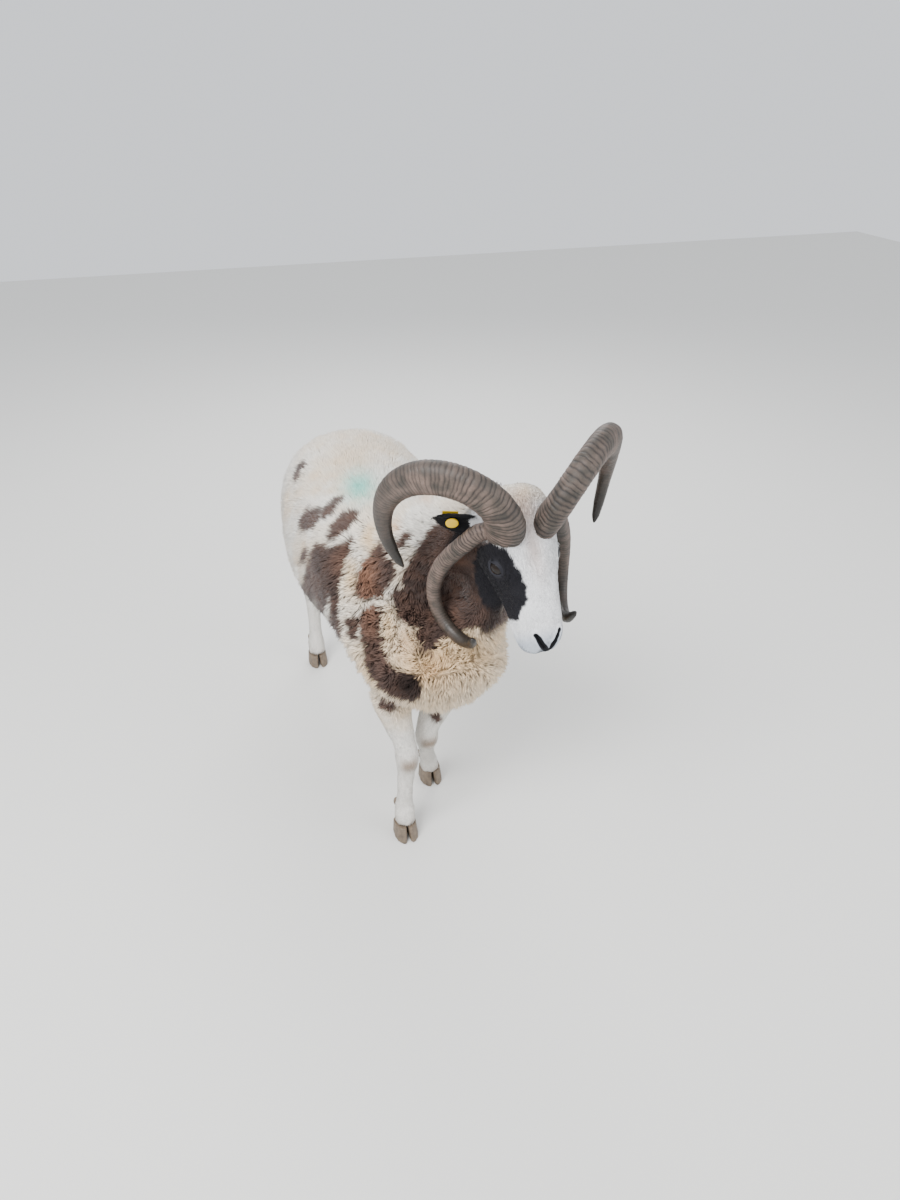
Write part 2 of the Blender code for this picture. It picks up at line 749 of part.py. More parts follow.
def eye_axes(side):
    outward = sided(EYE_AXIS, side).normalized()
    down = Vector((0.0, -1.0, -0.10))
    down = (down - down.dot(outward) * outward).normalized()
    brow = down.cross(outward) * side
    along = math.cos(EYE_SLANT) * down + math.sin(EYE_SLANT) * brow
    return outward, along, outward.cross(along)


# The opening between the lids, as a prism from inside the ball outwards.
def lid_opening(side, group):
    outward, along, up = eye_axes(side)
    centre = sided(EYE_CENTRE, side)
    rings = []
    for reach in LID_REACHES:
        angles = np.arange(LID_SIDES) * 2 * math.pi / LID_SIDES
        size = LID_INNER_SIZE + (1.0 - LID_INNER_SIZE) * reach
        corner = np.abs(np.cos(angles)) ** LID_POINTEDNESS * np.sign(np.cos(angles))
        ring_points = (np.array(centre + outward * EYE_RADIUS * reach)
                       + np.outer(corner * EYE_OPENING[0] * size, along)
                       + np.outer(np.sin(angles) * EYE_OPENING[1] * size, up))
        rings.append(ring_points)
    return loft("lids", rings, group)


def mouth_path(head):
    surface = BVHTree.FromPolygons([v.co[:] for v in head.data.vertices],
                                   [f.vertices[:] for f in head.data.polygons])
    path = []
    for share in np.linspace(-1.0, 1.0, MOUTH_STEPS):
        angle = MOUTH_ANGLE * share
        start = Vector((0.0, MOUTH_MIDDLE[0], MOUTH_MIDDLE[1] - MOUTH_DROP * share ** 2))
        place, normal, _, _ = surface.ray_cast(start, Vector((math.sin(angle), -math.cos(angle), 0.0)))
        path.append((place, normal))
    return path


def mouth_tube(name, path, radius, sunk, group):
    rows = [(*(place - normal * sunk), radius) for place, normal in path]
    places = np.array(rows)[:, :3]
    heading = np.gradient(places, axis=0)
    rings = []
    for place, along, (_, normal) in zip(places, heading, path):
        along = along / np.linalg.norm(along)
        side_way = np.cross(along, normal)
        side_way /= np.linalg.norm(side_way)
        rings.append(ring(place, side_way, np.cross(along, side_way), radius, radius, 2.0, 6))
    return loft(name, rings, group)


def nostril(side, group):
    rows = [(side * x, y, z, radius) for x, y, z, radius in NOSTRIL]
    return path_loft("nostril", rows, 7, 2, group)


def head_node(skull, work):
    back = head_matrix().inverted()
    head = skull
    head.data.transform(back)
    path = mouth_path(head)
    boolean(head, "UNION", [mouth_tube("lips", path, LIP_RADIUS, LIP_RADIUS * 0.65, work)])
    boolean(head, "DIFFERENCE", [mouth_tube("mouth", path, MOUTH_RADIUS, -0.3 * MOUTH_RADIUS, work)])
    for side in (1, -1):
        boolean(head, "DIFFERENCE", [nostril(side, work)])
        centre = sided(EYE_CENTRE, side)
        boolean(head, "UNION", [ball(centre, EYE_RADIUS + LID_THICKNESS, 16, 11)])
        boolean(head, "DIFFERENCE", [ball(centre, EYE_RADIUS + GAP)])
        boolean(head, "DIFFERENCE", [lid_opening(side, work)])
        boolean(head, "DIFFERENCE", [horn("cut", UPPER_HORN, UPPER_WIDTHS, side, work, GAP)])
        boolean(head, "DIFFERENCE", [horn("cut", LOWER_HORN, LOWER_WIDTHS, side, work, GAP)])
        boolean(head, "DIFFERENCE", [ear("cut", side, work, 3 * GAP)])
    tidy(head)
    head.data.transform(head_matrix())
    return head


# Horns: a curl at a slope about its axis, with ridges that fade towards the tip.
def horn(name, form, widths, side, group, grow=0.0):
    axis = np.array((math.cos(form["elevation"]) * math.cos(form["azimuth"]),
                     math.cos(form["elevation"]) * math.sin(form["azimuth"]),
                     math.sin(form["elevation"])))
    level = np.array((0.0, 0.0, 1.0)) - axis[2] * axis
    level /= np.linalg.norm(level)
    cross = np.cross(axis, level)
    s = np.linspace(0.0, form["length"], HORN_STEPS)
    turn = form["start"] + form["turn"] * s + 0.5 * form["turn_change"] * s * s
    tangent = (math.cos(form["slope"]) * (np.outer(np.cos(turn), level) + np.outer(np.sin(turn), cross))
               + math.sin(form["slope"]) * axis)
    step = form["length"] / (HORN_STEPS - 1)
    middle = (tangent[1:] + tangent[:-1]) / 2 * step
    place = np.array(form["base"]) + np.vstack([np.zeros(3), np.cumsum(middle, axis=0)])
    ridged = np.arange(0.0, RIDGED_SHARE, form["ridge_spacing"] / 2 / form["length"])
    smooth = np.linspace(RIDGED_SHARE, 1.0, 9)
    shares = np.concatenate([[HORN_ROOT - 2 * grow / form["length"]], ridged, smooth])
    table = np.array(widths)
    rings = []
    for number, share in enumerate(shares):
        inside = max(share, 0.0)
        at = [np.interp(inside, s / form["length"], place[:, i]) for i in range(3)]
        way = np.array([np.interp(inside, s / form["length"], tangent[:, i]) for i in range(3)])
        way /= np.linalg.norm(way)
        centre = np.array(at) + way * min(share, 0.0) * form["length"]
        flat = np.cross(axis, way)
        flat /= np.linalg.norm(flat)
        over = np.cross(way, flat)
        fade = max(0.0, 1.0 - inside / RIDGED_SHARE) ** 0.5
        ridge = RIDGE_HEIGHT * fade * (1 if number % 2 else -1)
        a = np.interp(share, table[:, 0], table[:, 1]) + ridge + grow
        b = np.interp(share, table[:, 0], table[:, 2]) + ridge + grow
        section = ring(centre, flat, over, a, b, 2.2, form["sides"])
        section[:, 0] *= -side
        rings.append(section)
    return loft(name, rings, group)


# Ears: a leaf that is rolled into a cup at its root and opens towards the tip.
def ear_axes(side):
    root = sided(EAR_ROOT, side)
    along = sided(EAR_TIP, side) - root
    length = along.length
    along.normalize()
    cup = sided(EAR_CUP_DIRECTION, side)
    cup = (cup - cup.dot(along) * along).normalized()
    return root, along, cup, along.cross(cup), length


def ear(name, side, group, grow=0.0):
    root, along, cup, across, length = ear_axes(side)
    rows, columns = EAR_ROWS, EAR_COLUMNS
    start = EAR_OUTLINE["start"]
    points = []
    for i in range(rows + 1):
        share = i / rows
        swell = math.sin(math.pi * (start + (1.0 - start) * share) ** EAR_OUTLINE["shift"])
        half = EAR_HALF_WIDTH * swell ** EAR_OUTLINE["fullness"] if share < 1.0 else 0.0
        half = max(half, EAR_LEAST_WIDTH) + grow
        roll = EAR_ROLL * (1.0 - EAR_UNROLLS * share) + grow / half
        radius = half / math.sin(min(roll, math.pi / 2))
        droop = -EAR_DROOP * share ** 2
        end = -2 * grow if i == 0 else 0.0
        for j in range(columns + 1):
            angle = roll * (2.0 * j / columns - 1.0)
            points.append(root + along * length * (share - EAR_SUNK) + cup * droop + along * end
                          + across * radius * math.sin(angle)
                          + cup * radius * (1.0 - math.cos(angle)))
    faces = []
    for i in range(rows):
        for j in range(columns):
            a = i * (columns + 1) + j
            faces += [(a, a + 1, a + columns + 2), (a, a + columns + 2, a + columns + 1)]
    thing = mesh_object(name, points, faces, group)
    wall = thing.modifiers.new("wall", "SOLIDIFY")
    wall.thickness = EAR_THICKNESS + 2 * grow
    wall.offset = 0.0
    bake_modifiers(thing)
    return tidy(thing)


# Ear tags: a button before the ear, a plate behind it, and a stem through it.
def cylinder(radius, depth, matrix, sides):
    bpy.ops.mesh.primitive_cylinder_add(radius=radius, depth=depth, vertices=sides)
    thing = bpy.context.object
    thing.data.transform(matrix)
    return thing


def tag_matrix(side):
    root, along, cup, across, length = ear_axes(side)
    centre = root + along * length * (TAG_AT - EAR_SUNK) - cup * EAR_DROOP * TAG_AT ** 2
    along = (along * length - cup * 2 * EAR_DROOP * TAG_AT).normalized()
    cup = across.cross(along) * (1 if across.cross(along).dot(cup) > 0 else -1)
    matrix = Matrix((across, along, cup)).transposed().to_4x4()
    matrix.translation = centre
    return matrix


def ear_tag(side):
    matrix = tag_matrix(side)
    front = TAG_LIFT + TAG_BUTTON_THICKNESS / 2
    back = -EAR_THICKNESS / 2 - TAG_BACK
    tag = cylinder(TAG_BUTTON, TAG_BUTTON_THICKNESS, matrix @ Matrix.Translation((0, 0, front)), 20)
    middle = matrix @ Matrix.Translation((0, 0, (front + back) / 2))
    stem = cylinder(TAG_STEM, front - back, middle, 10)
    bpy.ops.mesh.primitive_cube_add(size=1.0)
    plate = bpy.context.object
    plate.data.transform(matrix @ Matrix.Translation((0, TAG_PLATE_OFFSET, back))
                         @ Matrix.Diagonal((*TAG_PLATE, 1.0)))
    boolean(tag, "UNION", [stem])
    boolean(tag, "UNION", [plate])
    return tidy(tag)


def tag_hole(side):
    return cylinder(TAG_STEM + GAP, 4 * TAG_BUTTON, tag_matrix(side), 10)


def stand_on_origin(parts):
    corners = np.vstack([np.array([v.co[:] for v in thing.data.vertices]) for thing in parts.objects])
    low, high = corners.min(axis=0), corners.max(axis=0)
    shift = Vector((-(low[0] + high[0]) / 2, -(low[1] + high[1]) / 2, -low[2]))
    for thing in parts.objects:
        thing.data.transform(Matrix.Translation(shift))


def main():
    clear_scene()
    parts = new_collection("jacob_sheep")
    work = new_collection("work")
    whole = remesh(trunk_with_legs(work), *BODY_SURFACE)
    frame = head_matrix()
    to_head = frame.inverted()
    nape_point = frame @ NAPE_POINT
    nape_normal = (frame.to_3x3() @ NAPE_NORMAL).normalized()
    collar_normal = COLLAR_NORMAL.normalized()

    skull = remesh(head_and_neck(work), *SKULL_SURFACE)
    keep_side(skull, nape_point + GAP * nape_normal, nape_normal)

    fleece = fleece_core(whole, to_head, work)
    random = np.random.default_rng(CLUMP_SEED)
    places = clump_places(fleece, whole, to_head, random)
    union_all(fleece, [clump(*place, random, work) for place in places])
    keep_side(fleece, (0, 0, LEG_CUT + GAP), (0, 0, 1))
    neck = copy_of(fleece, "neck", work)
    keep_side(fleece, COLLAR_POINT, -collar_normal)
    keep_side(neck, COLLAR_POINT + GAP * collar_normal, collar_normal)
    boolean(neck, "DIFFERENCE", [head_room(nape_point, nape_normal)])
    boolean(neck, "DIFFERENCE", [swollen(skull, 2 * GAP, work)])
    for side in (1, -1):
        socket = ear("cut", side, work, 3 * GAP)
        socket.data.transform(frame)
        boolean(neck, "DIFFERENCE", [socket])
    tail_space = [row[:4] for row in TAIL]
    boolean(fleece, "DIFFERENCE", [path_loft("tail_space", tail_space, 10, 2, work, GAP)])
    for side in (1, -1):
        horn_space = horn("horn_space", LOWER_HORN, LOWER_WIDTHS, side, work, HORN_CLEARANCE)
        horn_space.data.transform(frame)
        boolean(fleece, "DIFFERENCE", [horn_space])
    finish(tidy(fleece), "torso", WHITE_WOOL, parts)
    finish(tidy(neck), "neck", BROWN_WOOL, parts)
    finish(tail_node(random, work), "tail", WHITE_WOOL, parts)
    finish(head_node(skull, work), "head", WHITE_HAIR, parts)
    for side, hand in ((1, "left"), (-1, "right")):
        lower = boolean(horn("horn", LOWER_HORN, LOWER_WIDTHS, side, work), "DIFFERENCE",
                        [horn("cut", UPPER_HORN, UPPER_WIDTHS, side, work, GAP)])
        pieces = (
            (horn("horn", UPPER_HORN, UPPER_WIDTHS, side, work), "upper_horn_" + hand, HORN),
            (lower, "lower_horn_" + hand, HORN),
            (boolean(ear("ear", side, work), "DIFFERENCE", [tag_hole(side)]),
             "ear_" + hand, BLACK_HAIR),
            (ear_tag(side), "ear_tag_" + hand, TAG_YELLOW),
            (ball(sided(EYE_CENTRE, side), EYE_RADIUS), "eye_" + hand, EYE),
        )
        for thing, name, look in pieces:
            thing.data.transform(frame)
            finish(tidy(thing), name, look, parts)
    for name, rows in leg_rows().items():
        finish(leg_node(whole, name, rows, work), name + "_leg", WHITE_HAIR, parts)
        for side, place in ((1, "left_claw"), (-1, "right_claw")):
            finish(claw(name, rows[-1], side, work), name + "_" + place, HOOF, parts)
    for left_over in [thing for thing in bpy.data.objects if thing.name not in parts.objects]:
        bpy.data.objects.remove(left_over)
    stand_on_origin(parts)


main()
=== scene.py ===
# A still, life-size Jacob ram with four horns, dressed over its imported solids.
# Metres throughout. The ram faces -Y, +X is its left side, +Z is up.
import math

import bmesh
import bpy
import numpy as np
from mathutils import Matrix, Vector
from mathutils.bvhtree import BVHTree


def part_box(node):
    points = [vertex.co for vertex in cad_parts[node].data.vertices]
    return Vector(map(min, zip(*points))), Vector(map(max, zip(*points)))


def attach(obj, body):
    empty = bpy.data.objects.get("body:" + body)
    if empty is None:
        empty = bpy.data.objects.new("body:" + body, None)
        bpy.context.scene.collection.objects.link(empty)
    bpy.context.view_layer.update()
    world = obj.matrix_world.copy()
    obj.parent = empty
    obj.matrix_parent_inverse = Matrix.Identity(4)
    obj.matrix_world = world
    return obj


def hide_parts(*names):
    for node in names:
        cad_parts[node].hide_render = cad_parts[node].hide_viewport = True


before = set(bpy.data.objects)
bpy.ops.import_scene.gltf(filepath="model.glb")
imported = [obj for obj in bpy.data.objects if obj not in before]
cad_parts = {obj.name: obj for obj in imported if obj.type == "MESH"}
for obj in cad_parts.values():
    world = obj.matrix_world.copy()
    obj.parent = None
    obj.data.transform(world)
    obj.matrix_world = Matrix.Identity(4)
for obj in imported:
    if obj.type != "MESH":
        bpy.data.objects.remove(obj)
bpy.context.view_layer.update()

# The photo's camera, in the ram's own axes, before the model is centred on its box.
camera = dict(place=(-0.3715, -1.760, 1.5), turn=16.86, down=31.4, lens=27.03, sensor=36.0, focal=901.0,
              middle=(450, 600))

# Head axes: place of the poll, turn to the left, slope of the face and tilt, in degrees.
headPose = dict(poll=(0.1765, -0.3938, 0.8103), turn=9.08, slope=58.37, tilt=4.56)

eyes = dict(centre=(0.0520, -0.103, -0.045), axis=(0.88, -0.30, 0.36), radius=0.0176, lid=0.0018,
            halfWidth=0.0170, halfHeight=0.0106, slant=35.0, ball=0.97, bulge=0.045, iris=0.80,
            pupil=(0.44, 0.15))

# The forms of the body, to the tips of the fleece: the same sizes as the solids have.
trunk = (
    (-0.400, 0.042, 0.462, 0.410, 0.050, 0.10), (-0.378, 0.044, 0.480, 0.358, 0.105, 0.25),
    (-0.320, 0.044, 0.502, 0.335, 0.150, 0.30), (-0.230, 0.034, 0.585, 0.325, 0.172, 0.40),
    (-0.130, 0.018, 0.688, 0.322, 0.181, 0.42), (0.000, 0.002, 0.694, 0.312, 0.194, 0.36),
    (0.120, 0.000, 0.694, 0.310, 0.198, 0.30), (0.240, 0.000, 0.704, 0.330, 0.191, 0.28),
    (0.335, 0.000, 0.700, 0.375, 0.174, 0.15), (0.402, 0.000, 0.670, 0.420, 0.140, 0.05),
    (0.442, 0.000, 0.612, 0.470, 0.088, 0.00), (0.456, 0.000, 0.568, 0.520, 0.035, 0.00),
)
neck = (
    (0.010, -0.080, 0.530, 0.140, 0.150), (0.048, -0.155, 0.600, 0.120, 0.125),
    (0.090, -0.215, 0.655, 0.096, 0.102), (0.132, -0.278, 0.703, 0.074, 0.084),
    (0.160, -0.335, 0.748, 0.060, 0.074),
)
throat = (
    (0.166, -0.330, 0.700, 0.050, 0.052), (0.154, -0.303, 0.630, 0.055, 0.064),
    (0.138, -0.288, 0.560, 0.062, 0.076), (0.108, -0.285, 0.480, 0.088, 0.086),
    (0.080, -0.290, 0.420, 0.100, 0.088),
)
tail = (
    (0.000, 0.400, 0.625, 0.024), (0.000, 0.448, 0.607, 0.028), (0.000, 0.492, 0.560, 0.031),
    (0.000, 0.505, 0.490, 0.033), (0.000, 0.505, 0.420, 0.030), (0.000, 0.502, 0.380, 0.018),
)
frontRight = (
    (-0.060, -0.195, 0.490, 0.055, 0.085), (-0.056, -0.265, 0.410, 0.048, 0.072),
    (-0.053, -0.300, 0.330, 0.036, 0.047), (-0.038, -0.322, 0.255, 0.0240, 0.028),
    (-0.034, -0.331, 0.212, 0.0245, 0.028), (-0.036, -0.327, 0.172, 0.0190, 0.020),
    (-0.039, -0.324, 0.120, 0.0165, 0.018), (-0.041, -0.322, 0.082, 0.0180, 0.020),
    (-0.042, -0.324, 0.060, 0.0220, 0.0235), (-0.044, -0.336, 0.029, 0.0215, 0.0235),
)
frontLeft = (
    (0.118, -0.190, 0.490, 0.055, 0.085), (0.100, -0.250, 0.410, 0.050, 0.074),
    (0.064, -0.272, 0.330, 0.037, 0.048), (0.029, -0.278, 0.250, 0.0240, 0.028),
    (0.026, -0.270, 0.207, 0.0245, 0.028), (0.031, -0.247, 0.168, 0.0190, 0.020),
    (0.040, -0.214, 0.118, 0.0165, 0.018), (0.048, -0.190, 0.080, 0.018, 0.020),
    (0.052, -0.178, 0.060, 0.0220, 0.0235), (0.058, -0.176, 0.029, 0.0215, 0.0235),
)
hindRight = (
    (-0.088, 0.290, 0.560, 0.078, 0.120), (-0.102, 0.290, 0.470, 0.070, 0.112),
    (-0.110, 0.300, 0.390, 0.051, 0.084), (-0.113, 0.346, 0.320, 0.034, 0.050),
    (-0.114, 0.392, 0.268, 0.0225, 0.034), (-0.114, 0.408, 0.232, 0.0245, 0.033),
    (-0.115, 0.404, 0.185, 0.0195, 0.023), (-0.116, 0.398, 0.130, 0.0165, 0.019),
    (-0.117, 0.394, 0.085, 0.0180, 0.020), (-0.118, 0.391, 0.060, 0.0220, 0.0235),
    (-0.119, 0.380, 0.029, 0.0215, 0.0235),
)
hindStep = dict(forward=-0.105, top=0.470, bottom=0.033)

# Head sections in its own axes, where -Y runs down the face and +Z out of the forehead.
skull = (
    (0.040, 0.0, -0.050, -0.100, 0.035, 0.10), (0.018, 0.0, -0.014, -0.126, 0.064, 0.20),
    (-0.020, 0.0, 0.000, -0.144, 0.075, 0.30), (-0.060, 0.0, 0.004, -0.153, 0.075, 0.32),
    (-0.100, 0.0, 0.004, -0.155, 0.068, 0.30), (-0.140, 0.0, 0.003, -0.146, 0.057, 0.28),
    (-0.180, 0.0, -0.001, -0.130, 0.049, 0.25), (-0.215, 0.0, -0.007, -0.116, 0.0455, 0.20),
    (-0.245, 0.0, -0.016, -0.107, 0.042, 0.18), (-0.265, 0.0, -0.031, -0.098, 0.034, 0.15),
    (-0.275, 0.0, -0.046, -0.084, 0.020, 0.10),
)
nape = dict(point=(0.0, -0.010, -0.085), normal=(0.0, -0.68, 0.73), jaw=-0.142)
muzzle = dict(corner=-0.212, level=-0.066, drop=0.012, grooveWidth=0.0022, grooveDepth=0.0040,
              lip=0.0022, lipReach=0.0070, philtrum=0.0016)
nostril = ((0.0040, -0.2690, -0.0385), (0.0105, -0.2620, -0.0300), (0.0175, -0.2520, -0.0235),
           (0.0235, -0.2405, -0.0195))
nostrilCut = dict(reach=0.0042, depth=0.0065, wing=0.0022)

ears = dict(root=(0.064, -0.010, -0.066), tip=(0.158, 0.004, -0.080), cup=(0.0, -0.74, 0.52),
            halfWidth=0.024, thickness=0.0048, roll=75.0, droop=0.012, sunk=0.10, rows=26, columns=16,
            start=0.20, skew=1.15, fullness=0.75, leastHalf=0.0025, unrolls=0.65)

# Fleece and hair: depth of the skin below the tips, and where the wool begins and ends.
fleece = dict(depth=0.017, hem=(0.325, 0.365), belly=(0.035, 0.185, 0.225), napeFade=0.050)

skinShape = dict(bodyVoxel=0.0066, bodyRounds=5, headVoxel=0.0027, headRounds=3, stump=0.009, seam=0.009,
                 seamMerge=0.0018, seamRounds=24)


# Small helpers

def toLinear(hexColour):
    values = [int(hexColour[i:i + 2], 16) / 255 for i in (1, 3, 5)]
    return tuple(v / 12.92 if v <= 0.04045 else ((v + 0.055) / 1.055) ** 2.4 for v in values)


def addNode(tree, kind, inputs=None, **settings):
    made = tree.nodes.new(kind)
    for key, value in settings.items():
        setattr(made, key, value)
    for socket, value in (inputs or {}).items():
        if isinstance(value, bpy.types.NodeSocket):
            tree.links.new(value, made.inputs[socket])
        else:
            made.inputs[socket].default_value = value
    return made


def unit(vector):
    vector = np.asarray(vector, float)
    return vector / np.linalg.norm(vector, axis=-1, keepdims=True)


def fade(value, start, end):
    share = np.clip((value - start) / (end - start), 0.0, 1.0)
    return share * share * (3.0 - 2.0 * share)


# A smooth random value near -1 to 1 at each point, whose waves have the given size.
def ripple(points, size, seed):
    random = np.random.default_rng(seed)
    total = np.zeros(len(points))
    for _ in range(9):
        way = unit(random.normal(size=3)) * 2 * math.pi / (size * random.uniform(0.7, 1.5))
        total += np.sin(points @ way + random.uniform(0, 2 * math.pi))
    return total / 3.0


def headMatrix():
    turn, slope, tilt = (math.radians(headPose[key]) for key in ("turn", "slope", "tilt"))
    face = Vector((math.sin(turn) * math.cos(slope), -math.cos(turn) * math.cos(slope), -math.sin(slope)))
    left = Vector((math.cos(turn), math.sin(turn), 0.0))
    out = Vector((math.sin(turn) * math.sin(slope), -math.cos(turn) * math.sin(slope), math.cos(slope)))
    left, out = (math.cos(tilt) * left + math.sin(tilt) * out, math.cos(tilt) * out - math.sin(tilt) * left)
    matrix = Matrix((left, -face, out)).transposed().to_4x4()
    matrix.translation = headPose["poll"]
    return matrix


headAxes = headMatrix()
headTurn = np.array(headAxes.to_3x3())
headPlace = np.array(headAxes.translation)
eyeLow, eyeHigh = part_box("eye_left")
shift = np.array((eyeLow + eyeHigh) / 2 - headAxes @ Vector(eyes["centre"]))


def toHead(points):
    return (points - headPlace) @ headTurn


def fromHead(points):
    return np.asarray(points) @ headTurn.T + headPlace


def coordinates(mesh, kind="vertices", name="co", size=3):
    items = getattr(mesh, kind)
    flat = np.empty(len(items) * size, np.float32)
    items.foreach_get(name, flat)
    return flat.reshape(-1, size).astype(float)


def meshObject(name, points, faces):
    mesh = bpy.data.meshes.new(name)
    mesh.from_pydata([tuple(p) for p in np.asarray(points, float)], [], [tuple(f) for f in faces])
    thing = bpy.data.objects.new(name, mesh)
    bpy.context.scene.collection.objects.link(thing)
    return thing


def settled(thing):
    bpy.context.view_layer.update()
    mesh = bpy.data.meshes.new_from_object(thing.evaluated_get(bpy.context.evaluated_depsgraph_get()))
    thing.modifiers.clear()
    thing.data = mesh
    return thing


def moved(thing, points):
    thing.data.vertices.foreach_set("co", np.asarray(points, np.float32).ravel())
    thing.data.update()


# A smooth curve through rows of numbers, with the given steps in each span.
def through(rows, steps):
    table = np.array(rows, dtype=float)
    ends = np.vstack([2 * table[0] - table[1], table, 2 * table[-1] - table[-2]])
    made = []
    for i in range(len(table) - 1):
        a, b, c, d = ends[i:i + 4]
        for t in np.linspace(0.0, 1.0, steps, endpoint=False):
            made.append(0.5 * (2 * b + (c - a) * t + (2 * a - 5 * b + 4 * c - d) * t * t
                               + (3 * b - a - 3 * c + d) * t ** 3))
    made.append(table[-1])
    return np.array(made)


def ring(centre, across, up, halfWidth, halfHeight, squareness, sides):
    angles = np.arange(sides) * 2 * math.pi / sides
    c = np.sign(np.cos(angles)) * np.abs(np.cos(angles)) ** (2 / squareness)
    s = np.sign(np.sin(angles)) * np.abs(np.sin(angles)) ** (2 / squareness)
    return centre + np.outer(c * halfWidth, across) + np.outer(s * halfHeight, up)


def shell(rings):
    sides = len(rings[0])
    faces = [list(range(sides))[::-1]]
    for i in range(len(rings) - 1):
        for j in range(sides):
            k = (j + 1) % sides
            faces.append((i * sides + j, i * sides + k, (i + 1) * sides + k, (i + 1) * sides + j))
    faces.append([(len(rings) - 1) * sides + j for j in range(sides)])
    return np.vstack(rings), faces


# Sections that stand upright across the Y axis, as on a trunk or a head.
def uprightShell(rows, squareness, sides, steps):
    rings = []
    for y, x, top, bottom, half, narrowing in through(rows, steps):
        section = ring(np.zeros(3), (1, 0, 0), (0, 0, 1), half, (top - bottom) / 2, squareness, sides)
        lowness = np.clip(-section[:, 2] * 2 / (top - bottom), 0.0, 1.0)
        section[:, 0] *= 1.0 - narrowing * lowness ** 1.5
        rings.append(section + (x, y, (top + bottom) / 2))
    return shell(rings)


# Sections square to a path, with their width level.
def pathShell(rows, sides, steps):
    table = through(rows, steps)
    heading = unit(np.gradient(table[:, :3], axis=0))
    rings = []
    for along, row in zip(heading, table):
        level = unit(np.array((1.0, 0.0, 0.0)) - along[0] * along)
        halfDepth = row[4] if len(row) > 4 else row[3]
        rings.append(ring(row[:3], level, np.cross(along, level), row[3], halfDepth, 2.0, sides))
    return shell(rings)


def ballShell(centre, radii, segments=24, rings=16):
    steps = np.linspace(0, math.pi, rings + 1)[1:-1]
    made = [np.array(centre) + np.array(radii) * ring(np.array((0, 0, -math.cos(a))), (1, 0, 0), (0, 1, 0),
                                                      math.sin(a), math.sin(a), 2.0, segments) for a in steps]
    return shell(made)


# One smooth surface round several closed shells that run into each other.
def blended(name, shells, voxel, rounds):
    points, faces = [], []
    for places, sides in shells:
        start = sum(len(p) for p in points)
        points.append(places)
        faces += [[start + i for i in face] for face in sides]
    thing = meshObject(name, np.vstack(points), faces)
    shape = bmesh.new()
    shape.from_mesh(thing.data)
    bmesh.ops.recalc_face_normals(shape, faces=shape.faces)
    shape.to_mesh(thing.data)
    shape.free()
    cells = thing.modifiers.new("cells", "REMESH")
    cells.mode = "VOXEL"
    cells.voxel_size = voxel
    even = thing.modifiers.new("even", "SMOOTH")
    even.factor = 0.5
    even.iterations = rounds
    return settled(thing)


# Wool

def behindHead(points):
    local = toHead(points)
    return np.maximum((np.array(nape["point"]) - local) @ unit(nape["normal"]), nape["jaw"] - local[:, 2])


def woolShare(points):
    middle, flat, end = fleece["belly"]
    body = np.maximum(fade(points[:, 2], *fleece["hem"]), fade(-abs(points[:, 1] - middle), -end, -flat))
    return body * fade(behindHead(points), 0.0, fleece["napeFade"])


# Head features, shaped on the skin in the head's own axes

def eyeFrame(side):
    mirror = np.array((side, 1.0, 1.0))
    outward = unit(np.array(eyes["axis"]) * mirror)
    down = np.array((0.0, -1.0, -0.10))
    down = unit(down - down @ outward * outward)
    brow = np.cross(down, outward) * side
    slant = math.radians(eyes["slant"])
    along = math.cos(slant) * down + math.sin(slant) * brow
    return np.array(eyes["centre"]) * mirror, outward, along, np.cross(outward, along) * -side


def shapeEye(points, side):
    centre, outward, along, up = eyeFrame(side)
    away = points - centre
    a, b, c = away @ along, away @ up, away @ outward
    distance = np.linalg.norm(away, axis=1)
    width, height = eyes["halfWidth"], eyes["halfHeight"]
    opening = np.where(b > 0, height * 1.12, height * 0.88) * (1 - np.clip(abs(a) / width, 0, 1) ** 2.2)
    edge = np.maximum(abs(a) - width, abs(b) - opening)
    near = (distance < 0.034) & (c > 0)
    radial = away / np.maximum(distance, 1e-6)[:, None]
    points = points.copy()
    hole = near & (edge < 0)
    points[hole] = centre + radial[hole] * (eyes["radius"] - np.minimum(-edge[hole] * 2.0, 0.0035))[:, None]
    rim = near & (edge >= 0)
    lidHeight = (0.0014 * np.exp(-(edge / 0.0016) ** 2)
                 - 0.0014 * np.exp(-((edge - 0.0052) / 0.0014) ** 2) * (b > 0)
                 - 0.0008 * np.exp(-((edge - 0.0058) / 0.0016) ** 2) * (b <= 0)
                 + 0.0030 * np.exp(-((edge - 0.0115) / 0.0048) ** 2) * (b > 0))
    points[rim] += radial[rim] * lidHeight[rim][:, None]
    gland = np.linalg.norm(points - (centre + along * 0.023 - up * 0.004), axis=1)
    points -= radial * (0.0016 * np.exp(-(gland / 0.0045) ** 2) * near)[:, None]
    return points


def lineDistance(points, path):
    best = np.full(len(points), 9.0)
    for a, b in zip(path[:-1], path[1:]):
        share = np.clip(((points - a) @ (b - a)) / ((b - a) @ (b - a)), 0, 1)
        best = np.minimum(best, np.linalg.norm(points - a - share[:, None] * (b - a), axis=1))
    return best


# Height of the mouth's line in the head's axes, lower towards its corners.
def mouthLevel(y):
    return muzzle["level"] - muzzle["drop"] * np.clip((y + 0.275) / 0.07, 0, 1) ** 1.3


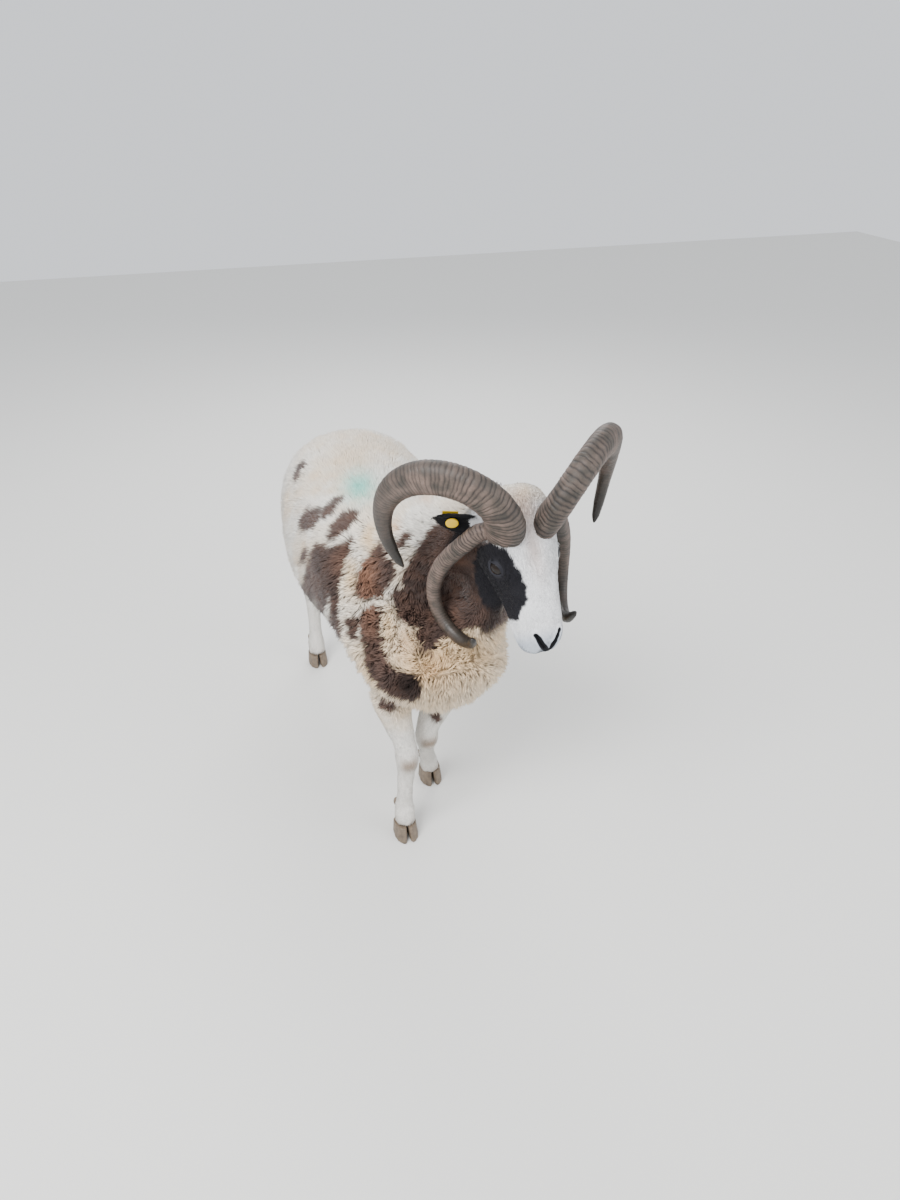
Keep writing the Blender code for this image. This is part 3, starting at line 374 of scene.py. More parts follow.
def shapeMuzzle(points, normals):
    x, y, z = points.T
    front = fade(-y, -muzzle["corner"] - 0.004, -muzzle["corner"] + 0.006)
    off = z - mouthLevel(y)
    push = -muzzle["grooveDepth"] * np.exp(-(off / muzzle["grooveWidth"]) ** 2)
    push += muzzle["lip"] * np.exp(-((abs(off) - muzzle["lipReach"]) / 0.0040) ** 2)
    push *= front
    split = np.exp(-(x / 0.0018) ** 2) * fade(-y, 0.264, 0.270) * (off > 0) * (z < -0.040)
    push -= muzzle["philtrum"] * split
    for side in (1, -1):
        path = np.array(nostril) * (side, 1, 1)
        d = lineDistance(points, through(path, 6))
        inside = nostrilCut["depth"] * np.exp(-(d / (nostrilCut["reach"] * 0.62)) ** 2)
        wing = nostrilCut["wing"] * np.exp(-((d - 0.0072) / 0.0032) ** 2)
        push += wing - inside
    return points + normals * push[:, None]


# Low forms on each side of the face: middle, reach, and height above the skull's own surface.
faceForms = dict(
    cheek=((0.062, -0.062, -0.105), 0.034, 0.0055), tearHollow=((0.050, -0.152, -0.050), 0.020, -0.0030),
    cheekBone=((0.051, -0.128, -0.075), 0.016, 0.0025), brow=((0.030, -0.075, 0.000), 0.024, 0.0035),
    lipCorner=((0.045, -0.215, -0.100), 0.014, 0.0020),
)


def shapeFace(points, normals):
    push = np.zeros(len(points))
    for side in (1, -1):
        for centre, reach, height in faceForms.values():
            away = np.linalg.norm(points - np.array(centre) * (side, 1, 1), axis=1)
            push += height * np.exp(-(away / reach) ** 2)
    return points + normals * push[:, None]


def earShell(side):
    mirror = np.array((side, 1.0, 1.0))
    root, tip = np.array(ears["root"]) * mirror, np.array(ears["tip"]) * mirror
    length = np.linalg.norm(tip - root)
    along = (tip - root) / length
    cup = np.array(ears["cup"])
    cup = unit(cup - cup @ along * along)
    across = np.cross(along, cup)
    rows, columns, start = ears["rows"], ears["columns"], ears["start"]
    sheet = []
    for i in range(rows + 1):
        share = i / rows
        swell = math.sin(math.pi * (start + (1.0 - start) * share) ** ears["skew"])
        half = max(ears["halfWidth"] * max(0.0, swell) ** ears["fullness"], ears["leastHalf"])
        roll = math.radians(ears["roll"]) * (1.0 - ears["unrolls"] * share)
        radius = half / math.sin(min(roll, math.pi / 2))
        for j in range(columns + 1):
            angle = roll * (2.0 * j / columns - 1.0)
            sheet.append(root + along * length * (share - ears["sunk"]) - cup * ears["droop"] * share ** 2
                         + across * radius * math.sin(angle) + cup * radius * (1.0 - math.cos(angle)))
    faces = []
    for i in range(rows):
        for j in range(columns):
            a = i * (columns + 1) + j
            faces.append((a, a + 1, a + columns + 2, a + columns + 1))
    thing = meshObject("earSheet", sheet, faces)
    wall = thing.modifiers.new("wall", "SOLIDIFY")
    wall.thickness = ears["thickness"]
    wall.offset = 0.0
    settled(thing)
    made = coordinates(thing.data), [p.vertices[:] for p in thing.data.polygons]
    bpy.data.objects.remove(thing)
    return made


# The skin

def hindLeft():
    rows = []
    for x, y, z, halfWidth, halfDepth in hindRight:
        share = min(1.0, max(0.0, (hindStep["top"] - z) / (hindStep["top"] - hindStep["bottom"])))
        rows.append((-x, y + hindStep["forward"] * share, z, halfWidth, halfDepth))
    return rows


def shrunk(thing):
    points = coordinates(thing.data)
    normals = coordinates(thing.data, "vertex_normals", "vector")
    share = woolShare(points)
    depth = fleece["depth"] * share * np.where(points[:, 1] > 0.455, 0.60, 1.0)
    moved(thing, points - normals * depth[:, None])


def makeBody():
    legs = [frontRight, frontLeft, hindRight, hindLeft()]
    shells = [uprightShell(trunk, 2.2, 64, 8), pathShell(neck, 48, 8), pathShell(throat, 40, 8),
              pathShell(tail, 28, 6)]
    shells += [pathShell(rows, 32, 8) for rows in legs]
    body = blended("skin", shells, skinShape["bodyVoxel"], skinShape["bodyRounds"])
    shrunk(body)
    return body


def makeHead():
    places, faces = uprightShell(skull, 2.35, 64, 10)
    thinner = skinShape["stump"]
    inner = [(x, y, z, wide - thinner, deep - thinner) for x, y, z, wide, deep in neck[2:]]
    shells = [(fromHead(places), faces), pathShell(inner, 48, 8)]
    for side in (1, -1):
        centre = np.array(eyes["centre"]) * (side, 1, 1)
        places, faces = ballShell(centre, (eyes["radius"] + eyes["lid"],) * 3)
        shells.append((fromHead(places), faces))
        places, faces = earShell(side)
        shells.append((fromHead(places), faces))
    head = blended("skinHead", shells, skinShape["headVoxel"], skinShape["headRounds"])
    refineHead(head)
    points = toHead(coordinates(head.data))
    normals = coordinates(head.data, "vertex_normals", "vector") @ headTurn
    points = shapeFace(points, normals)
    points = shapeMuzzle(points, normals)
    for side in (1, -1):
        points = shapeEye(points, side)
    moved(head, fromHead(points))
    shrunk(head)
    return head


# Halves the skin's cells round the eyes, nostrils and mouth.
def refineHead(head):
    shape = bmesh.new()
    shape.from_mesh(head.data)
    for eyeReach, noseReach, lipReach in ((0.030, 0.018, -0.240), (0.0235, 0.0085, -1.0)):
        places = toHead(np.array([face.calc_center_median() for face in shape.faces]))
        toEye = np.minimum(*[np.linalg.norm(places - eyeFrame(side)[0], axis=1) for side in (1, -1)])
        toNose = np.minimum(*[lineDistance(places, np.array(nostril) * (side, 1, 1)) for side in (1, -1)])
        close = (toEye < eyeReach) | (toNose < noseReach) | (places[:, 1] < lipReach)
        shape.faces.ensure_lookup_table()
        edges = {edge for i in np.flatnonzero(close) for edge in shape.faces[i].edges}
        bmesh.ops.subdivide_edges(shape, edges=list(edges), cuts=1, use_grid_fill=True)
    shape.to_mesh(head.data)
    shape.free()


# Smooths the skin along the line where the union joined its two shells.
def smoothSeam(skin, shells):
    shape = bmesh.new()
    shape.from_mesh(skin.data)
    places = np.array([v.co[:] for v in shape.verts])
    shape.verts.ensure_lookup_table()
    reach = skinShape["seam"]
    near = [shape.verts[i] for i in np.flatnonzero(behindHead(places) > -0.02)
            if places[i, 1] < -0.05 and max(tree.find_nearest(places[i])[3] for tree in shells) < reach]
    bmesh.ops.remove_doubles(shape, verts=near, dist=skinShape["seamMerge"])
    near = [v for v in near if v.is_valid]
    for _ in range(skinShape["seamRounds"]):
        bmesh.ops.smooth_vert(shape, verts=near, factor=0.5, use_axis_x=True, use_axis_y=True,
                              use_axis_z=True)
    shape.to_mesh(skin.data)
    shape.free()


# Markings. Outlines are named places of the photo, 900 by 1200, and lie on the coat that shows there.
brownPatches = dict(
    rump=((305.7, 461.6), (306.6, 465), (300.8, 475.7), (296.6, 481.5), (295.3, 477.3), (299.9, 467.4)),
    hindBack=((309.9, 506.7), (310.7, 513), (320.7, 507.7), (321.8, 513), (317.3, 523), (309.9, 531.2),
              (301.6, 528), (302.4, 518)),
    backStreak=((343, 497.5), (344.2, 500), (336.4, 508.8), (326.5, 519.6), (323.1, 518), (324.8, 510.5),
                (333.1, 502.2)),
    spine=((350.5, 511.6), (358.8, 513), (358, 519.6), (348.8, 528.7), (338.1, 536.2), (329.8, 540.8),
           (328.4, 536.2), (333.1, 526.2), (341.4, 515.5)),
    thinStreak=((308.2, 546.1), (309, 550.3), (304.1, 562.7), (302.1, 563.5), (303.2, 554.4)),
    flank=((312.4, 553), (319, 543.6), (333, 548), (343, 544.5), (353, 537), (351, 548), (345.5, 558),
           (343, 571), (339, 584), (338, 596), (331, 592), (327, 600), (325, 612.5), (320, 608),
           (316.5, 597.5), (313, 590), (303, 586), (307, 578), (310, 566)),
    outerFinger=((303, 584), (313, 590), (314, 600), (318, 612), (325.6, 630.7), (318, 624), (309, 613),
                 (303.5, 600)),
    innerFinger=((334, 589), (339.7, 599), (339, 616), (342, 637), (337, 634), (332, 619), (332, 606)),
    bellySpot=((347.2, 615.8), (351.3, 620.8), (357.1, 615.8), (357.6, 637.3), (355.5, 639.8), (349.7, 632.4),
               (346.4, 624)),
    withers=((386, 553), (395, 566), (393, 576), (387, 588), (378, 597), (366, 599), (357, 597), (356, 584),
             (360, 571), (368, 558), (375, 548), (381, 541), (383, 546)),
    crestStreak=((412.7, 533.2), (411, 537), (399.4, 546.1), (395.3, 547), (395.8, 542), (402.7, 537)),
    neck=((440, 524), (422.6, 541), (411, 559), (405, 573), (403.6, 585), (394.5, 592.6), (392.8, 604),
          (398, 617), (408, 624), (413, 622), (416, 634), (421, 649), (431, 657), (435, 644), (446, 636),
          (464, 629), (478, 626), (499, 618), (506, 585), (500, 548), (480, 540), (462, 522)),
    shoulder=((375, 606), (379, 607.5), (381, 616), (378, 627), (380.4, 639), (384.5, 655.6), (393, 667),
              (404, 672), (416, 677), (421, 687), (418, 697), (409, 700), (398, 697), (383, 689), (373, 677),
              (366, 660.6), (363, 639), (361, 622), (365, 611)),
    forearm=((381, 699), (392, 702), (396, 707), (390, 711), (383, 707)),
    farForearm=((430, 715), (438, 713), (441, 720), (434, 723)),
)
facePatch = ((479, 548), (490, 543), (505, 549), (514, 560), (521, 575), (526, 588), (527, 601), (521, 613),
             (517, 622), (505, 620), (492, 617), (482, 608), (476, 585), (474, 563))
# Tints of the photo: colour, middle, half widths and strength.
tints = (
    ("cream", (352, 456), (26, 16), 0.50), ("cream", (371, 538), (7, 20), 0.75),
    ("cream", (351, 577), (7, 22), 0.75),
    ("cream", (428, 665), (34, 32), 0.95), ("cream", (470, 655), (30, 26), 0.70),
    ("cream", (388, 625), (7, 20), 0.8),
    ("tan", (397, 527), (5, 8), 0.70), ("tan", (428, 500), (7, 5), 0.50), ("tan", (432, 668), (20, 16), 0.42),
    ("tan", (404, 640), (8, 14), 0.30), ("spray", (360, 488), (15, 14), 0.90),
)
# Spots where the brown wool is lighter: middle, half widths and strength.
lighterBrownSpots = (
    ((366, 575), (11, 24), 0.95), ((370, 618), (7, 20), 0.55), ((420, 525), (14, 14), 0.35),
    ((455, 590), (9, 26), 0.20), ((345, 560), (9, 20), 0.20),
)
# Tints down the middle of the face: colour, place along it, half width, half length and strength.
headTints = (("tan", -0.01, 0.030, 0.040, 0.50), ("pink", -0.09, 0.016, 0.05, 0.40))
darkestSpots = (((408, 688), (24, 18), 0.95), ((430, 600), (26, 50), 0.40), ((466, 580), (20, 40), 0.50))
# Patches of the left side, which the photo does not show: place along and up the body, and half sizes.
leftPatches = dict(
    shoulder=(-0.190, 0.500, 0.070, 0.110), shoulderFoot=(-0.165, 0.410, 0.045, 0.050),
    saddle=(0.085, 0.590, 0.110, 0.050), ribs=(0.030, 0.470, 0.060, 0.055), rump=(0.330, 0.555, 0.080, 0.080),
    thigh=(0.285, 0.430, 0.045, 0.070), flankSpot=(0.165, 0.480, 0.025, 0.040),
    tailHead=(0.425, 0.640, 0.020, 0.018),
)
coatColours = dict(
    white="#FAF5EB", cream="#F0CC98", tan="#D3A277", brown="#594740", darkBrown="#2A1F1B", black="#15141A",
    bleached="#99705A", faceWhite="#F3F3F4", muzzleGrey="#BCC6D4", noseBlack="#111318", legWhite="#F4F0E9",
    kneeTan="#8A6A4C", pink="#DDB8A2", spray="#74DCCB", earBlack="#121115", lidGrey="#2A2A30",
)


def toPhoto(points):
    turn, down = math.radians(camera["turn"]), math.radians(camera["down"])
    ahead = np.array((math.sin(turn) * math.cos(down), math.cos(turn) * math.cos(down), -math.sin(down)))
    right = np.array((math.cos(turn), -math.sin(turn), 0.0))
    away = points - np.array(camera["place"])
    depth = away @ ahead
    scale = camera["focal"] / depth
    middleX, middleY = camera["middle"]
    return np.stack([middleX + scale * (away @ right),
                     middleY - scale * (away @ np.cross(right, ahead))], -1)


# Distance inside an outline, in pixels, negative outside it.
def insideOutline(spots, outline):
    corners = np.array(outline, float)
    best = np.full(len(spots), 1e9)
    inside = np.zeros(len(spots), bool)
    for a, b in zip(corners, np.roll(corners, -1, axis=0)):
        share = np.clip(((spots - a) @ (b - a)) / ((b - a) @ (b - a)), 0, 1)
        best = np.minimum(best, np.linalg.norm(spots - a - share[:, None] * (b - a), axis=1))
        crosses = (a[1] > spots[:, 1]) != (b[1] > spots[:, 1])
        at = (b[0] - a[0]) * (spots[:, 1] - a[1]) / (b[1] - a[1] + 1e-9) + a[0]
        inside ^= crosses & (spots[:, 0] < at)
    return np.where(inside, best, -best)


def mixed(base, name, share):
    colour = np.array(toLinear(coatColours[name]))
    return base + (colour - base) * np.clip(share, 0, 1)[:, None]


def blot(spots, middle, size):
    return np.exp(-(((spots - middle) / size) ** 2).sum(axis=1))


# The coat's colour at each point: "points" is where the tips of its tufts show.
def markings(points, normals):
    spots = toPhoto(points)
    toCamera = unit(np.array(camera["place"]) - points)
    facing = np.einsum("ij,ij->i", normals, toCamera)
    onHead = fade(-behindHead(points), -0.030, -0.010)
    seen = fade(facing + 0.45 * onHead, -0.30, -0.02) * fade(-points[:, 1], -0.462, -0.445)
    spots = spots + np.stack([ripple(points, 0.022, 3), ripple(points, 0.022, 5)], -1) * 0.9
    spots += np.stack([ripple(points, 0.009, 7), ripple(points, 0.009, 8)], -1) * 0.7
    local = toHead(points)
    x, y, z = points.T
    colour = np.tile(np.array(toLinear(coatColours["white"])), (len(points), 1))
    colour = mixed(colour, "cream", 0.16 + 0.16 * ripple(points, 0.13, 21) + 0.10 * ripple(points, 0.04, 22))
    chest = fade(-y, 0.20, 0.30) * fade(z, 0.30, 0.36) * fade(-z, -0.66, -0.54) * (1 - onHead)
    colour = mixed(colour, "cream", chest * 0.45)
    for name, middle, size, strength in tints:
        colour = mixed(colour, name, blot(spots, middle, size) * strength * seen * (1 - onHead))
    dark = np.zeros(len(points))
    for name, outline in brownPatches.items():
        dark = np.maximum(dark, fade(insideOutline(spots, outline), -2.6, -0.2))
    dark *= seen * (1 - fade(-z, -0.385, -0.355) * (y > 0.2))
    left = np.zeros(len(points))
    for along, up, length, height in leftPatches.values():
        reach = np.sqrt(((y - along) / length) ** 2 + ((z - up) / height) ** 2)
        left = np.maximum(left, fade(1.0 - reach + 0.16 * ripple(points, 0.050, 31), -0.06, 0.06))
    left *= fade(x - 0.05 + 0.35 * np.clip(y + 0.22, -1, 0), 0.0, 0.02)
    leftNeck = (fade(x - 0.120 + 0.02 * ripple(points, 0.05, 33), 0.0, 0.01) * fade(z, 0.50, 0.53)
                * fade(-y, 0.15, 0.17) * (1 - onHead))
    dark = np.maximum(dark, np.maximum(left, leftNeck) * (1 - seen * (x < 0.05)))
    colour = mixed(colour, "brown", dark)
    colour = mixed(colour, "darkBrown", dark * (0.22 + 0.25 * ripple(points, 0.06, 41)))
    for middle, size, strength in darkestSpots:
        colour = mixed(colour, "darkBrown", dark * blot(spots, middle, size) * strength * seen)
    for middle, size, strength in lighterBrownSpots:
        colour = mixed(colour, "bleached", dark * blot(spots, middle, size) * strength * seen)
    colour = mixed(colour, "bleached", dark * (0.05 + 0.09 * ripple(points, 0.035, 43)))
    # Head: white blaze, black patch round the right eye, black left cheek, grey muzzle, black nose.
    hx, hy, hz = local.T
    colour = mixed(colour, "faceWhite", onHead * (1 - dark) * fade(-hy, -0.02, 0.02))
    for name, middle, wide, long, strength in headTints:
        tint = np.exp(-((hx / wide) ** 2 + ((hy - middle) / long) ** 2)) * (hz > -0.03)
        colour = mixed(colour, name, tint * strength)
    black = fade(insideOutline(spots, facePatch), -1.0, 1.0) * seen * onHead
    cheek = 0.0455 + 0.006 * ripple(points, 0.03, 51) + 0.10 * np.clip(-hy - 0.15, 0, 1)
    black = np.maximum(black, fade(hx, cheek, cheek + 0.004) * fade(-hy, 0.050, 0.058)
                       * fade(hy, -0.178, -0.168) * onHead * fade(-hz, 0.028, 0.034))
    jaw = fade(-hz, 0.112, 0.120) * fade(hz, -0.152, -0.148) * fade(-hy, 0.150, 0.165) * onHead * (1 - dark)
    colour = mixed(mixed(colour, "black", black), "faceWhite", jaw)
    onEar = fade(abs(hx) - 0.066, 0.0, 0.004) * fade(hy, -0.060, -0.045) * onHead
    earWhite = fade(0.082 - abs(hx) + 0.004 * ripple(points, 0.012, 55), 0.0, 0.003) * (hx < 0)
    colour = mixed(mixed(colour, "earBlack", onEar), "faceWhite", onEar * earWhite)
    colour = mixed(colour, "muzzleGrey", fade(-hy, 0.222, 0.262) * 0.80 * onHead)
    for side in (1, -1):
        lid = np.linalg.norm(local - eyeFrame(side)[0], axis=1)
        colour = mixed(colour, "lidGrey", fade(-lid, -0.0240, -0.0205) * onHead)
    arms = [through(np.array(nostril) * (side, 1, 1), 6) for side in (1, -1)]
    inwards = np.array((0.0, 0.0036, -0.0048))
    nose = np.minimum.reduce([lineDistance(local, arm + inwards * k) for arm in arms for k in (0, 1)])
    nose = np.minimum(nose, lineDistance(local, np.array(((0, -0.2690, -0.0400), (0, -0.2750, -0.0560)))))
    reach = 0.0074 + 0.0006 * ripple(points, 0.012, 57) - 0.0024 * fade(abs(hx), 0.014, 0.024)
    colour = mixed(colour, "noseBlack", fade(reach - nose, -0.0008, 0.0010) * onHead)
    pad = fade(0.018 - abs(hx), 0.0, 0.006) * fade(-hz, 0.022, 0.032) * fade(hz, -0.064, -0.056)
    colour = mixed(colour, "noseBlack", 0.70 * pad * fade(-hy, 0.248, 0.258) * onHead)
    # Painted shade: a dark line along the mouth's groove, where the lips meet.
    mouth = np.exp(-((hz - mouthLevel(hy)) / 0.0022) ** 2) * fade(-hy, -muzzle["corner"], 0.225)
    colour = mixed(colour, "noseBlack", 0.85 * mouth * onHead)
    lips = fade(-hz, 0.052, 0.058) * fade(hz, -0.092, -0.086) * fade(-hy, 0.245, 0.262) * onHead
    colour = mixed(colour, "noseBlack", lips * (0.35 + 0.25 * ripple(points, 0.004, 59)))
    # Legs: white, with tan knees and a little soil at the hooves.
    colour = mixed(colour, "legWhite", fade(-z, -0.31, -0.27) * (1 - dark))
    knee = np.exp(-((z - 0.205) / 0.018) ** 2) * fade(-normals[:, 1], 0.3, 0.95) * (y < 0)
    colour = mixed(colour, "kneeTan", knee * 0.75)
    colour = mixed(colour, "kneeTan", fade(-z, -0.055, -0.03) * (0.25 + 0.15 * ripple(points, 0.02, 61)))
    return np.clip(colour, 0.0, 1.0)


# The way that the coat lies at each point, with its length, width, thickness and cracks.
def coatFlow(points, normals):
    local = toHead(points)
    onHead = fade(-behindHead(points), -0.030, -0.010)
    y, z = points[:, 1], points[:, 2]
    legs = fade(-z, -0.36, -0.30) * (1 - onHead)
    body = np.stack([0 * y, 0.50 + 0 * y, -0.85 + 0 * y], -1)
    body[:, 1] += 0.9 * fade(z, 0.60, 0.68) * (1 - onHead)
    lie = body + (np.array((0.0, 0.06, -1.0)) - body) * legs[:, None]
    faceDown = np.array((0.0, -1.0, -0.12)) @ headTurn.T
    earOut = np.stack([np.sign(local[:, 0]), 0 * y, 0 * y], -1) @ headTurn.T
    onEar = fade(abs(local[:, 0]), 0.066, 0.076) * onHead * fade(local[:, 1], -0.060, -0.045)
    headLie = faceDown + (earOut - faceDown) * onEar[:, None]
    lie = lie + (headLie - lie) * onHead[:, None]
    drift = np.stack([ripple(points, 0.040, seed) for seed in (71, 72, 73)], -1)
    wool = woolShare(points)
    lie = lie + drift * (0.12 + 0.30 * wool)[:, None]
    lie -= normals * np.einsum("ij,ij->i", lie, normals)[:, None]
    lie = unit(lie)
    axis = unit(normals * (0.24 + 0.66 * wool)[:, None] + lie * (1.00 - 0.35 * wool)[:, None])
    crown = np.exp(-((local[:, 0] / 0.040) ** 2 + ((local[:, 1] - 0.002) / 0.030) ** 2))
    crown *= local[:, 2] > -0.07
    tailPart = fade(y, 0.455, 0.47)
    length = 0.0075 + (0.0145 - 0.006 * tailPart) * wool + 0.0010 * ripple(points, 0.03, 75)
    length = (length - 0.0035 * onHead * fade(-local[:, 1], 0.10, 0.18) - 0.0025 * onEar
              + 0.007 * crown * onHead)
    width = 0.0006 + 0.0008 * wool + 0.0006 * crown * onHead
    eyeNear = np.minimum(*[np.linalg.norm(local - eyeFrame(side)[0], axis=1) for side in (1, -1)])
    arms = [lineDistance(local, through(np.array(nostril) * (side, 1, 1), 6)) for side in (1, -1)]
    bare = fade(eyeNear, 0.0215, 0.0265) * fade(np.minimum(*arms), 0.008, 0.012)
    bare *= 1 - fade(-local[:, 1], 0.255, 0.263) * onHead
    cracks = 0.25 + 0.75 * fade(-y, 0.12, 0.20) * fade(z, 0.32, 0.38) * (1 - fade(z, 0.66, 0.74))
    return axis, lie, np.clip(length, 0.003, 1), width, wool, bare, cracks * wool


def writeAttribute(mesh, name, kind, values, domain="POINT"):
    field = {"FLOAT": "value", "INT": "value", "FLOAT_VECTOR": "vector", "FLOAT_COLOR": "color"}[kind]
    made = mesh.attributes.new(name, kind, domain)
    number = np.int32 if kind == "INT" else np.float32
    made.data.foreach_set(field, np.ascontiguousarray(values, number).ravel())


coatPieces = dict(
    wool=dict(zones=8, spacing=0.0019, seed=100, jitter=0.16, lockSize=0.013, waist=0.55, bend=1.6),
    hair=dict(zones=3, spacing=0.0022, seed=200, jitter=0.13, lockSize=0.008, waist=0.40, bend=1.5),
)


def dressSkin(thing):
    mesh = thing.data
    points = coordinates(mesh)
    normals = coordinates(mesh, "vertex_normals", "vector")
    axis, lie, length, width, wool, bare, cracks = coatFlow(points, normals)
    colour = markings(points + axis * (length * 0.6 * bare)[:, None], normals)
    writeAttribute(mesh, "coatColour", "FLOAT_COLOR", np.column_stack([colour, np.ones(len(points))]))
    writeAttribute(mesh, "tuftAxis", "FLOAT_VECTOR", axis)
    writeAttribute(mesh, "tuftLie", "FLOAT_VECTOR", lie)
    writeAttribute(mesh, "tuftLength", "FLOAT", length)
    writeAttribute(mesh, "tuftWidth", "FLOAT", width)
    writeAttribute(mesh, "cracks", "FLOAT", cracks)
    writeAttribute(mesh, "woolDensity", "FLOAT", fade(wool, 0.15, 0.45))
    writeAttribute(mesh, "hairDensity", "FLOAT", (1 - fade(wool, 0.30, 0.60)) * bare)


# Numbers the skin's faces so that each zone carries about as many tufts.
def zoneFaces(mesh, name, density, zones):
    area = np.empty(len(mesh.polygons), np.float32)
    mesh.polygons.foreach_get("area", area)
    centre = coordinates(mesh, "polygons", "center")
    amount = np.empty(len(mesh.vertices), np.float32)
    mesh.attributes[density].data.foreach_get("value", amount)
    first = np.empty(len(mesh.polygons), np.int32)
    mesh.polygons.foreach_get("loop_start", first)
    corner = np.empty(len(mesh.loops), np.int32)
    mesh.loops.foreach_get("vertex_index", corner)
    weight = area * amount[corner[first]]
    order = np.argsort(centre[:, 1])
    run = np.cumsum(weight[order]) / weight.sum()
    zone = np.empty(len(order), np.int32)
    zone[order] = np.minimum((run * zones).astype(int), zones - 1)
    writeAttribute(mesh, name, "INT", zone, "FACE")


# A lock of wool or a wisp of hair: a point at the root, three sides at its thickest and a bent tip,
# one unit high.
def tuftShape(name, waist, bend):
    angles = [side * 2 * math.pi / 3 for side in range(3)]
    points = [(math.cos(a) + bend * waist ** 2, math.sin(a), waist) for a in angles]
    points += [(0.0, 0.0, 0.0), (bend, 0.0, 1.0)]
    patch = [(-0.5, waist - 0.5, 0), (0, waist - 0.5, 0), (0.5, waist - 0.5, 0), (0, -0.5, 0), (0, 0.5, 0)]
    faces = [face for i in range(3) for face in ((i, (i + 1) % 3, 4), ((i + 1) % 3, i, 3))]
    thing = meshObject(name, points, faces)
    writeAttribute(thing.data, "patch", "FLOAT_VECTOR", patch)
    writeAttribute(thing.data, "along", "FLOAT", [waist, waist, waist, 0.0, 1.0])
    thing.data.shade_smooth()
    return thing


# Grows tufts on one zone of the skin, each at its own slant, size and shade. They gather into small
# locks, with cracks between the locks where the fleece opens, and painted shade darkens the tufts in those
# cracks.
# "dark" is how much painted shade falls on tufts in the cracks between locks.
locks = dict(wander=0.030, lean=0.32, crack=0.16, dark=1.3, short=0.30)


